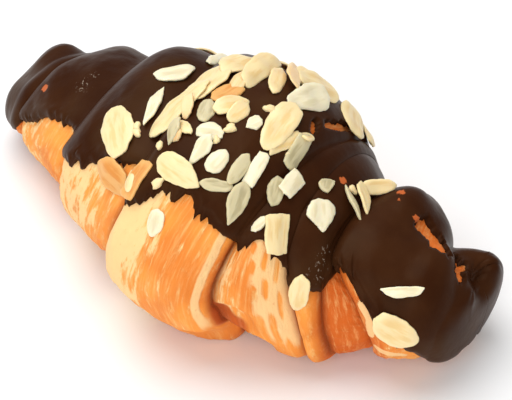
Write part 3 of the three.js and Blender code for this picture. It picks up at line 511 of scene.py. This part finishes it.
# How the crust is streaked: torn skin, thin lines, small flecks, and broad patches.
torn = grain((0.55, 0.085, 1.0), 8.0, 0.66)
lines = grain((0.9, 0.07, 1.0), 6.0, 0.66)
flecks = grain((0.9, 0.45, 1.0), 5.0, 0.7)
broad = grain((0.07, 0.035, 1.0), 2.0, 0.5)
redness = crust.carried("redder")
colour = crust.mix(crust.ramp(broad, 0.42, 0.66), PASTRY_MID, PASTRY_RED, 0.5)
colour = crust.mix(redness, colour, PASTRY_RED, 0.9)
colour = crust.mix(crust.ramp(lines, 0.46, 0.74), colour, PASTRY_PALE, 0.6)
pale_field = crust.total((torn, 1.0), (crust.carried("paler"), 0.22), (redness, -0.08))
pale = crust.ramp(pale_field, 0.53, 0.68)
colour = crust.mix(pale, colour, PASTRY_PALE, 0.85)
cream = crust.ramp(crust.total((pale_field, 1.0), (flecks, 0.25)), 0.74, 0.80)
colour = crust.mix(cream, colour, PASTRY_CREAM, 0.8)
layered = crust.ramp(crust.total((crust.carried("layers"), 1.0), (lines, 0.8), start=-0.4), 0.25, 0.75)
colour = crust.mix(layered, colour, PASTRY_CREAM, 0.8)
colour = crust.mix(crust.ramp(flecks, 0.60, 0.72), colour, PASTRY_RED, 0.35)
# Painted shade in the hollow under the middle wrap's foot.
colour = crust.mix(crust.carried("hollow_shade"), colour, PASTRY_HOLLOW_SHADE, 0.9)
# Painted shade: the crust is darkened towards deep brown close to each crease.
colour = crust.mix(crust.ramp(crust.carried("crevice"), 0.35, 1.0), colour, PASTRY_CREASE_SHADE, 0.85)
relief = crust.total((pale, 0.5), (lines, 0.6), (flecks, 0.8), (layered, 0.5))
crust.give(colour, relief, 0.6, 0.0005, {"Roughness": 0.6, "Specular IOR Level": 0.16})
pastry.data.materials.append(crust.material)

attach(pastry, "root")
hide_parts("croissant")

# ---------------------------------------------------------------------------
# The chocolate: dark couverture that the back and both horns were dipped in, set to a satin skin about 1.3 mm
# thick. It evens out the folds, runs down in short pointed teeth at its edge, and has come off in a few spots
# on the right half.
# ---------------------------------------------------------------------------

COAT_SKIN = (0.35, 0.4)
COAT_STAND = 1.65  # its outside over the dough, in mm
COAT_SUNK = 0.45  # its underside below the dough's surface
THINNEST = 0.7  # the least it stands over the dough away from its edge
COAT_ROUNDING = 2.0  # how far in from its edge it reaches its full thickness
COAT_LOWEST = 0.6  # its least height over the floor
# How many times its form is evened out: over the creases, over the horns' ends, and in its normals.
CREASE_PASSES = 30
END_PASSES = 12
NORMAL_PASSES = 16
# Where the chocolate ends: x, then the angle round the body, on the front and on the back.
COAT_FRONT = np.array([
    (-84, 150), (-70, 150), (-66.5, 95), (-62, 70), (-56, 59), (-48, 46), (-38.5, 44), (-36.5, 62), (-25, 55),
    (-19, 48), (-8, 42), (-5.8, 40), (-4.6, 59), (-2, 56), (1, 51), (5, 44), (12, 41), (17, 45), (22, 50),
    (26, 53), (29, 46), (31, 41), (34, 47), (37, 49), (39.5, 54), (42, 56), (45.2, 55), (46, 43), (46.5, 31),
    (50, 33), (53.3, 42), (56.7, 51), (58.7, 57.5), (60.1, 64), (63, 74.5), (66.8, 84), (69.5, 104),
    (70.2, 124), (72, 150), (84, 178),
], float)
COAT_BACK = np.array([
    (-84, -150), (-69, -145), (-60, -112), (-45, -98), (-30, -88), (-10, -84), (10, -90), (25, -86),
    (40, -94), (55, -104), (64, -122), (70, -148), (84, -178),
], float)
# Its own unevenness: height and length of the swells in mm, how many go round the body, and their seed.
COAT_SWELLS = ((0.30, 9, 16, 21), (0.16, 4, 34, 22), (0.07, 1.8, 70, 23))
WHOLE_END = 74.6  # past this x it closes all round the horn's end
COAT_ROWS = (70, 14, 76, 70, 120, 36, 30, 24, 70, 64)
COAT_COLUMNS = 120
UNDER_COLUMNS = 24


def make_teeth(seed, count, longest):
    """Short runs of chocolate, shorter on the left horn: where each hangs, half its width, and its length."""
    draws = np.random.default_rng(seed)
    at = np.sort(draws.uniform(-82, 82, count))
    wide = draws.uniform(0.2, 0.55, count) * longest ** 0.8
    long = longest * draws.uniform(0.05, 1, count) ** 2.2 + 0.3
    long = long * np.where(at < -50, 0.5, 1)
    return at, wide, long


FRONT_TEETH = [np.concatenate(pair) for pair in zip(make_teeth(11, 66, 4.4), make_teeth(13, 130, 1.6))]
BACK_TEETH = make_teeth(12, 60, 3.0)


def coat_edge(x, line, teeth, side):
    """Angle round the body where the chocolate ends at x, teeth included."""
    half = np.maximum(section(x)[0], 6)
    run = np.zeros_like(x)
    for at, wide, long in zip(*teeth):
        run = np.maximum(run, long * np.clip(1 - np.abs(x - at) / wide, 0, 1) ** 0.8)
    return np.interp(x, line[:, 0], line[:, 1]) + side * np.degrees(run / half)


def find_edge(layer, share, line, teeth, side):
    """The same angle for a row of one wrap, whose x changes round the body."""
    scan = np.linspace(0, side * 178, 900)
    s = np.full_like(scan, share)
    x = layer_profile(layer, s, scan, COAT_SKIN)[0]
    beyond = (side * (scan - coat_edge(x, line, teeth, side)) > 0) & (x < WHOLE_END)
    return scan[np.argmax(beyond)] if beyond.any() else side * 180.0


coat_rows = [(layer, s) for layer, count in enumerate(COAT_ROWS) for s in layer_shares(layer, count)]
front_edge = np.array([find_edge(layer, s, COAT_FRONT, FRONT_TEETH, 1) for layer, s in coat_rows])
back_edge = np.array([find_edge(layer, s, COAT_BACK, BACK_TEETH, -1) for layer, s in coat_rows])


def rows_between(front, back, columns, skin):
    """Points between the coat's two edges, closer together there, with their angles and creases."""
    share = 0.5 - 0.5 * np.cos(np.pi * (0.18 + 0.64 * np.linspace(0, 1, columns)))
    share = (share - share[0]) / (share[-1] - share[0])
    angles = back[:, None] + (front - back)[:, None] * share[None, :]
    parts = []
    for layer in range(len(ROWS_PER_LAYER)):
        mine = [k for k, row in enumerate(coat_rows) if row[0] == layer]
        s = np.array([coat_rows[k][1] for k in mine])[:, None] * np.ones((1, columns))
        parts.append(surface_points(layer, s, angles[mine], skin))
    points, creases = (np.concatenate(part) for part in zip(*parts))
    return points, angles, creases


low, angles, coat_crevice = rows_between(front_edge, back_edge, COAT_COLUMNS, PASTRY_SKIN)
filled = rows_between(front_edge, back_edge, COAT_COLUMNS, COAT_SKIN)[0]


def soften(grid, weight, passes):
    """Evens a grid of points out along its rows and columns where the weight is over 0."""
    for _ in range(passes):
        mean = grid.copy()
        mean[1:-1] = (grid[:-2] + grid[2:]) / 2
        mean[:, 1:-1] = mean[:, 1:-1] * 0.7 + (grid[:, :-2] + grid[:, 2:]) * 0.15
        grid = grid + (mean - grid) * (0.6 * weight)[..., None]
    return grid


# Where the coat is evened out most: over the creases, and over the horns' ends.
near_crease = coat_crevice.copy()
for step in range(1, 11):
    near_crease[step:] = np.maximum(near_crease[step:], coat_crevice[:-step])
    near_crease[:-step] = np.maximum(near_crease[:-step], coat_crevice[step:])
near_end = ease_step((np.abs(low[..., 0]) - 70) / 3)
everywhere = np.ones(low.shape[:2])
low_normals = grid_normals(low, False)
filled_normals = soften(grid_normals(filled, False), everywhere, NORMAL_PASSES)
for normals in (low_normals, filled_normals):
    normals[0], normals[-1] = normals[1].mean(axis=0), normals[-2].mean(axis=0)
    normals /= np.linalg.norm(normals, axis=-1, keepdims=True)

# How far each point is from the coat's edge, for the rounding there.
tree_of_edge = KDTree(2 * len(low))
closed_rows = front_edge > 179
for k in np.flatnonzero(~closed_rows):
    tree_of_edge.insert(low[k, 0], 2 * k)
    tree_of_edge.insert(low[k, -1], 2 * k + 1)
tree_of_edge.balance()
edge_distance = np.array([tree_of_edge.find(p)[2] for p in low.reshape(-1, 3)]).reshape(low.shape[:2])
edge_distance[~closed_rows, 0] = 0
edge_distance[~closed_rows, -1] = 0
swell = np.sqrt(1 - (1 - np.clip(edge_distance / COAT_ROUNDING, 0, 1)) ** 2)
x_coat = low[..., 0]
calm = np.clip(section(x_coat)[0] / TIP_HALF_WIDTH, 0, 1) ** 2 * (1 - ease_step((np.abs(x_coat) - 68) / 5))
ripples = calm * sum(high * ripple(x_coat, angles, *size) for high, *size in COAT_SWELLS)
rim = 0.35 * np.exp(-((edge_distance - 2.2) / 1.2) ** 2)
outer = filled + filled_normals * (COAT_STAND + ripples + rim)[..., None]
outer = soften(outer, np.clip(1.5 * near_crease, 0, 1), CREASE_PASSES)
outer = soften(outer, near_end, END_PASSES)
thin_by = np.maximum(THINNEST - ((outer - low) * low_normals).sum(-1), 0)[..., None]
outer = outer + low_normals * soften(thin_by, everywhere, 3)
bare = np.zeros(x_coat.shape)
for line, reach in BARE_PATCHES:
    away = distance_to_line(low, line) / reach
    away = away + 0.30 * ripple(x_coat, angles, 1.7, 120, 31) + 0.16 * ripple(x_coat, angles, 0.8, 220, 32)
    bare = np.maximum(bare, ease_step((1.0 - away) / 0.2))
keep = swell * (1 - bare)
outer = low + (outer - low) * keep[..., None] - low_normals * (0.5 * bare)[..., None]
under = rows_between(front_edge, back_edge, UNDER_COLUMNS, PASTRY_SKIN)[0]
under = under - grid_normals(under, False) * COAT_SUNK
outer[..., 2] = np.maximum(outer[..., 2], COAT_LOWEST)

# One closed skin: the outside, the underside, a strip along each edge, and a face over each horn's end.
upper = np.arange(len(outer) * COAT_COLUMNS).reshape(-1, COAT_COLUMNS)
lower = upper.size + np.arange(len(outer) * UNDER_COLUMNS).reshape(-1, UNDER_COLUMNS)
coat_faces = np.concatenate([
    grid_faces(upper),
    grid_faces(lower)[:, ::-1],
    grid_faces(np.stack([upper[:, -1], lower[:, -1]], -1)),
    grid_faces(np.stack([lower[:, 0], upper[:, 0]], -1)),
])
coat_ends = [
    (*lower[0], *upper[0][::-1]),
    (*lower[-1][::-1], *upper[-1]),
]
coat_points = np.concatenate([outer.reshape(-1, 3), under.reshape(-1, 3)])
coat = add_mesh("chocolate", coat_points, [*map(tuple, coat_faces), *coat_ends])

# Small chips in it down to the crust, and spots of painted highlight, speckled like small glints: middle and
# reach in mm.
CHIPS = [
    ((-56.8, -3.6, 32.5), 1.5), ((50, 5.6, 41), 1.3), ((51.2, 2.2, 41.6), 1.0), ((52.3, -1.2, 41.8), 1.2),
    ((57.3, 1.1, 38.1), 1.2), ((38, -3.5, 45.3), 1.3),
]
GLINT_SPOTS = [
    ((44, -21.7, 36.1), 3.0), ((44, -26.5, 34.3), 3.0), ((-44, -2.7, 39.2), 3.5), ((-43.2, -0.1, 40.6), 2.5),
]
COCOA = (0.033, 0.0092, 0.0029)
COCOA_CLOUD = (0.044, 0.0140, 0.0046)
COCOA_SHEEN = (0.070, 0.034, 0.013)
CHIPPED = (0.50, 0.115, 0.030)
# The colour of the painted highlight spots.
COCOA_GLINT = (0.36, 0.28, 0.21)
chocolate = Finish("dark_chocolate")
place = chocolate.node("ShaderNodeTexCoord", {}, "Object")
cloud = chocolate.noise(place, 90.0, 3.0)
sheen = chocolate.noise(place, 38.0, 2.0)
bits = chocolate.noise(place, 900.0, 3.0)
# Fine speckles for the painted highlight spots.
glint_speckle = chocolate.ramp(chocolate.noise(place, 1300.0, 2.0), 0.60, 0.66)
pores = chocolate.noise(place, 420.0, 4.0)


def spot_mask(centre, reach, soft):
    """1 within a few mm of a place, with an uneven edge."""
    ends = {0: place, 1: tuple(c * MM for c in centre)}
    distance = chocolate.node("ShaderNodeVectorMath", ends, 1, operation="DISTANCE")
    away = chocolate.total((distance, 1 / (reach * MM)), (bits, 1.6), start=-0.8)
    fade = {"Value": away, "From Min": 1.0 - soft, "From Max": 1.0, "To Min": 1.0, "To Max": 0.0}
    return chocolate.node("ShaderNodeMapRange", fade)


colour = chocolate.mix(chocolate.ramp(cloud, 0.35, 0.7), COCOA, COCOA_CLOUD)
colour = chocolate.mix(chocolate.ramp(sheen, 0.50, 0.70), colour, COCOA_SHEEN, 0.35)
for centre, reach in CHIPS:
    colour = chocolate.mix(spot_mask(centre, reach, 0.25), colour, CHIPPED)
# Painted highlight: light speckled patches laid on the chocolate where it shines.
for centre, reach in GLINT_SPOTS:
    colour = chocolate.mix(chocolate.times(spot_mask(centre, reach, 0.6), glint_speckle), colour, COCOA_GLINT, 0.7)
chocolate.give(colour, pores, 0.25, 0.0004, {
    "Roughness": 0.34,
    "IOR": 1.18,
    "Specular IOR Level": 0.30,
    "Specular Tint": (1.0, 0.82, 0.56, 1),
})
coat.data.materials.append(chocolate.material)

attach(coat, "root")
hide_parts("chocolate_coat")

# ---------------------------------------------------------------------------
# The almond flakes: blanched kernels sliced about a millimetre thick and dropped on while the chocolate was
# soft, so that each lies stuck in it by its lowest side. Most are cream, some glassy in the middle, and some
# lightly toasted.
# ---------------------------------------------------------------------------

RIM_POINTS = 72
RINGS = 9
FLAKE_THICK = 0.85
FLAKE_SINK = 0.35  # how deep its lowest side sits in the chocolate
PROBE_START = 6  # how far over a flake the search for its ground starts, in mm
PROBE_REACH = 14
FLAKE_SEED = 499
# The flakes with straight broken sides, by the number in the node's name.
BROKEN_FLAKES = (3, 9, 15, 16, 17, 20, 21, 23, 25, 26, 31, 34, 35, 37, 38, 39, 46, 47, 49, 50, 51)


def periodic_smooth(knots, count, sharpness):
    """A closed curve through the knots, smooth at 0 and straight between them at 1."""
    length = np.linalg.norm(np.roll(knots, -1, axis=0) - knots, axis=1)
    at = np.concatenate([[0], np.cumsum(length)])
    total = at[-1]
    s = np.linspace(0, total, count, endpoint=False)
    wide = np.concatenate([at[:-1] - total, at[:-1], at[:-1] + total])
    smooth = np.stack([smooth_table(s, wide, np.tile(knots[:, k], 3)) for k in range(2)], -1)
    straight = np.stack([np.interp(s, wide, np.tile(knots[:, k], 3)) for k in range(2)], -1)
    return straight * sharpness + smooth * (1 - sharpness)


def read_flake(obj):
    """Middle and axes of a flake, and its corners along those axes, from its solid."""
    co = np.empty(len(obj.data.vertices) * 3)
    obj.data.vertices.foreach_get("co", co)
    p = np.unique(np.round(co.reshape(-1, 3) / MM, 4), axis=0)
    middle = p.mean(axis=0)
    _, _, axes = np.linalg.svd(p - middle, full_matrices=False)
    along, across, out = axes
    _, _, roll_y, roll_z = section(middle[0])
    if out @ (middle - (middle[0], roll_y, roll_z)) < 0:
        out = -out
    across = np.cross(out, along)
    flat = np.stack([(p - middle) @ along, (p - middle) @ across, (p - middle) @ out], -1)
    return middle, (along, across, out), flat


def hull_rim(flat):
    """Outermost corners in order round the middle."""
    corners = sorted(map(tuple, np.round(flat[:, :2], 4)))

    def chain(ordered):
        side = []
        for q in ordered:
            while len(side) > 1 and ((side[-1][0] - side[-2][0]) * (q[1] - side[-2][1])
                                     <= (side[-1][1] - side[-2][1]) * (q[0] - side[-2][0])):
                side.pop()
            side.append(q)
        return side[:-1]

    loop = chain(corners) + chain(corners[::-1])
    return np.array([q for k, q in enumerate(loop) if math.dist(q, loop[k - 1]) > 0.4])


# What the flakes are laid on: the crust and the chocolate together.
crust_index = np.arange(len(pastry_fine) * COLUMNS).reshape(-1, COLUMNS)
ground = BVHTree.FromPolygons(
    np.concatenate([pastry_fine.reshape(-1, 3), outer.reshape(-1, 3)]).tolist(),
    np.concatenate([grid_faces(crust_index, closed=True), grid_faces(upper + crust_index.size)]).tolist(),
)

# The kernel's colour in the middle of a flake and at its rim, and the flakes that aren't cream.
FLAKE_TONES = {
    "cream": ((0.82, 0.58, 0.25), (0.88, 0.69, 0.37)),
    "glassy": ((0.44, 0.37, 0.20), (0.62, 0.54, 0.32)),
    "white": ((0.74, 0.64, 0.40), (0.85, 0.76, 0.53)),
    "peach": ((0.80, 0.50, 0.21), (0.88, 0.62, 0.32)),
    "amber": ((0.68, 0.26, 0.045), (0.76, 0.40, 0.12)),
}
TONE_OF = {
    "amber": (5, 45, 46),
    "peach": (10, 48, 51, 15),
    "glassy": (14, 17, 23, 29, 30, 32, 33, 35, 50),
    "white": (2, 3, 12, 20, 25, 26, 28, 31, 34, 36, 37, 41, 44, 47),
}
almond_materials = {}
for tone, (dark, pale) in FLAKE_TONES.items():
    almond = Finish(f"almond_{tone}")
    stripes = almond.noise(almond.stretched(almond.carried("grain", "Vector"), (0.10, 0.45, 1.0)), 1.3, 3.0)
    within = almond.total((almond.carried("rim"), -1.0), start=1.0)
    clear = almond.times(almond.ramp(stripes, 0.42, 0.62), within)
    almond.give(almond.mix(clear, pale, dark), stripes, 0.3, 0.0003, {
        "Roughness": 0.42,
        "Subsurface Weight": 0.25,
        "Subsurface Radius": (0.002, 0.0014, 0.0007),
        "Subsurface Scale": 0.6,
    })
    almond_materials[tone] = almond.material


def flake_rim(flat, sharpness, draws):
    """The flake's outline in its own plane, a little ragged."""
    rim = periodic_smooth(hull_rim(flat), RIM_POINTS, sharpness)
    turn = np.linspace(0, 2 * np.pi, RIM_POINTS, endpoint=False)
    ragged = 1 + 0.02 * np.sin(5 * turn + draws.uniform(0, 6))
    ragged = ragged + 0.015 * np.sin(11 * turn + draws.uniform(0, 6))
    return rim * (ragged + draws.uniform(-0.012, 0.012, RIM_POINTS))[:, None]


def bend(flat, spots):
    """Height of the solid flake's arch at spots of its plane."""
    def terms(p):
        return np.stack([np.ones(len(p)), p[:, 0], p[:, 1], p[:, 0] ** 2, p[:, 1] ** 2], -1)

    return terms(spots) @ np.linalg.lstsq(terms(flat), flat[:, 2], rcond=None)[0]


def drop_to_ground(low_side, out):
    """How far the flake goes down along its normal until its lowest side is sunk in what is under it."""
    gaps = []
    for q in low_side[::5]:
        distance = ground.ray_cast(Vector(q + out * PROBE_START), Vector(-out), PROBE_REACH)[3]
        if distance is not None:
            gaps.append(distance - PROBE_START)
    return min(gaps) + FLAKE_SINK if gaps else 0


def flake_faces():
    """Faces of two discs of rings, one over the other, joined at the rim."""
    count = 1 + RINGS * RIM_POINTS
    rings = 1 + np.arange(RINGS * RIM_POINTS).reshape(RINGS, RIM_POINTS)
    low_faces = grid_faces(rings, closed=True)
    edge_faces = grid_faces(np.stack([rings[-1], count + rings[-1]]), closed=True)
    quads = np.concatenate([low_faces, count + low_faces[:, ::-1], edge_faces])
    return fan(0, rings[0][::-1]) + fan(count, count + rings[0]) + [tuple(face) for face in quads]


FLAKE_FACES = flake_faces()
RING_SHARE = 1 - (1 - np.linspace(0, 1, RINGS + 1)[1:]) ** 1.6
inset = np.concatenate([[0], np.repeat(RING_SHARE, RIM_POINTS)])
for name in sorted(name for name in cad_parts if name.startswith("almond_")):
    number = int(name[-2:])
    draws = np.random.default_rng(FLAKE_SEED + number)
    middle, (along, across, out), flat = read_flake(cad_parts[name])
    rim_line = flake_rim(flat, 0.85 if number in BROKEN_FLAKES else 0.15, draws)
    spots = np.concatenate([[[0, 0]]] + [rim_line * share for share in RING_SHARE])
    u, v = spots.T
    wave = 0.18 * np.sin(u * 0.8 + draws.uniform(0, 6)) + 0.12 * np.sin(v * 1.3 + draws.uniform(0, 6))
    half_thick = 0.5 * FLAKE_THICK * np.sqrt(np.clip(1 - inset ** 14, 0.2, 1))
    half_thick = half_thick * (1 - 0.12 * (1 - inset) * draws.uniform(0, 1))
    base = middle + spots[:, :1] * along + spots[:, 1:] * across + (bend(flat, spots) + wave)[:, None] * out
    half_thick = half_thick[:, None] * out
    base = base - out * drop_to_ground(base - half_thick, out)
    sides = np.concatenate([base - half_thick, base + half_thick])
    flake = add_mesh(f"flake_{number:02d}", sides, FLAKE_FACES)
    add_numbers(flake, "rim", np.tile(ease_step((inset - 0.55) / 0.4), 2))
    add_vectors(flake, "grain", np.tile(np.stack([u, v, np.full(len(u), (number - 1) * 3.7)], -1), (2, 1)))
    tone = next((tone for tone, numbers in TONE_OF.items() if number in numbers), "cream")
    flake.data.materials.append(almond_materials[tone])
    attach(flake, "root")
    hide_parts(name)

# ---------------------------------------------------------------------------
# The crumbs: chips broken off the almond flakes, 2 to 4 mm across. They fell on with the flakes and are set
# in the chocolate like them.
# ---------------------------------------------------------------------------

# Where each lies, and its size across.
CRUMBS = [
    ((-13.1, -21.9, 52.8), 3.0), ((-12, -23.5, 52.3), 3.2), ((26.6, -11.6, 54.4), 2.8),
    ((3.2, -36.4, 52.5), 3.6), ((12.3, -17.1, 60.7), 3.6), ((11.2, -21.8, 59.9), 2.6),
    ((16.6, -5.4, 60.9), 3.4), ((40.5, -3, 43), 3.0), ((-1.9, -27.8, 56), 3.0),
]
CRUMB_RINGS = 7
CRUMB_SIDES = 14
CRUMB_SEED = 900
points, faces = [], []
for number, (spot, size) in enumerate(CRUMBS):
    draws = np.random.default_rng(CRUMB_SEED + number)
    where, facing = ground.find_nearest(Vector(spot))[:2]
    where, facing = np.array(where), np.array(facing)
    side = np.cross(facing, draws.uniform(-1, 1, 3))
    side /= np.linalg.norm(side)
    other = np.cross(facing, side)
    first = len(points)
    bumps = draws.uniform(0, 6, 3)
    for ring in range(CRUMB_RINGS + 1):
        tilt = math.pi * ring / CRUMB_RINGS
        for k in range(CRUMB_SIDES if 0 < ring < CRUMB_RINGS else 1):
            turn = 2 * math.pi * k / CRUMB_SIDES
            uneven = 1 + 0.16 * math.sin(3 * turn + bumps[0]) + 0.1 * math.sin(5 * turn + bumps[1])
            wide = size / 2 * math.sin(tilt) ** 0.6 * uneven
            height = size * (0.06 + 0.24 * math.cos(tilt)) + 0.1 * wide * math.sin(2 * turn + bumps[2])
            level = side * wide * math.cos(turn) + other * 0.7 * wide * math.sin(turn)
            points.append(where + level + facing * height)
    rings = first + 1 + np.arange((CRUMB_RINGS - 1) * CRUMB_SIDES).reshape(-1, CRUMB_SIDES)
    faces += fan(first, rings[0]) + fan(len(points) - 1, rings[-1][::-1])
    faces += map(tuple, grid_faces(rings, closed=True)[:, ::-1])
crumbs = add_mesh("crumbs", points, faces)
add_numbers(crumbs, "rim", np.ones(len(points)))
add_vectors(crumbs, "grain", np.array(points))
crumbs.data.materials.append(almond_materials["cream"])
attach(crumbs, "root")
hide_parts("chocolate_coat")

# ---------------------------------------------------------------------------
# The studio: a pale floor, one wide soft light above and a weaker one in front, and the camera at the
# photograph's angle, so that both pictures show the croissant at the same place and size.
# ---------------------------------------------------------------------------

VIEW_AZIMUTH = math.radians(33)
VIEW_ELEVATION = math.radians(44)
VIEW_DISTANCE = 0.700
SENSOR = 36
IMAGE = (512, 400)
ORIGIN_PIXEL = (226, 244)  # where the photo shows the frame's origin
PIXEL = 0.000275  # a pixel's width there, in metres
FLOOR_WHITE = (0.9, 0.9, 0.9, 1)
LIGHT_SIZE = 1.0
LIGHT_TARGET = Vector((0, 0, 0.02))
SURROUNDING_LIGHT = 0.46

floor_mesh = bpy.data.meshes.new("floor")
floor_mesh.from_pydata([(-3, -3, 0), (3, -3, 0), (3, 3, 0), (-3, 3, 0)], [], [(0, 1, 2, 3)])
floor = bpy.data.objects.new("floor", floor_mesh)
bpy.context.scene.collection.objects.link(floor)
board = Finish("pale_floor")
board.shader.inputs["Base Color"].default_value = FLOOR_WHITE
board.shader.inputs["Roughness"].default_value = 0.9
floor_mesh.materials.append(board.material)


def add_light(name, location, watts):
    """A round soft light that faces the croissant."""
    lamp = bpy.data.lights.new(name, "AREA")
    lamp.shape = "DISK"
    lamp.size = LIGHT_SIZE
    lamp.energy = watts
    obj = bpy.data.objects.new(name, lamp)
    obj.location = location
    obj.rotation_euler = (LIGHT_TARGET - Vector(location)).to_track_quat("-Z", "Y").to_euler()
    bpy.context.scene.collection.objects.link(obj)


add_light("key", (-0.30, 0.05, 0.92), 8.0)
add_light("front", (0.30, -0.85, 0.55), 5.4)
world = bpy.data.worlds.new("studio")
world.use_nodes = True
surroundings = world.node_tree.nodes["Background"].inputs
surroundings["Color"].default_value = (1, 1, 1, 1)
surroundings["Strength"].default_value = SURROUNDING_LIGHT
bpy.context.scene.world = world
bpy.context.scene.view_settings.view_transform = "Standard"

camera_data = bpy.data.cameras.new("camera")
camera_data.sensor_width = SENSOR
camera_data.lens = VIEW_DISTANCE / PIXEL * SENSOR / IMAGE[0]
camera_data.clip_start = 0.01
camera = bpy.data.objects.new("camera", camera_data)
back_of = Vector((math.sin(VIEW_AZIMUTH) * math.cos(VIEW_ELEVATION),
                  -math.cos(VIEW_AZIMUTH) * math.cos(VIEW_ELEVATION),
                  math.sin(VIEW_ELEVATION)))
right_of = Vector((math.cos(VIEW_AZIMUTH), math.sin(VIEW_AZIMUTH), 0))
up_of = back_of.cross(right_of)
eye = back_of * VIEW_DISTANCE
aim = (right_of * (IMAGE[0] / 2 - ORIGIN_PIXEL[0]) + up_of * (ORIGIN_PIXEL[1] - IMAGE[1] / 2)) * PIXEL
forward = (aim - eye).normalized()
right_of = (right_of - forward * right_of.dot(forward)).normalized()
up_of = right_of.cross(forward)
camera.matrix_world = Matrix.Translation(eye) @ Matrix((right_of, up_of, -forward)).transposed().to_4x4()
bpy.context.scene.collection.objects.link(camera)
bpy.context.scene.camera = camera
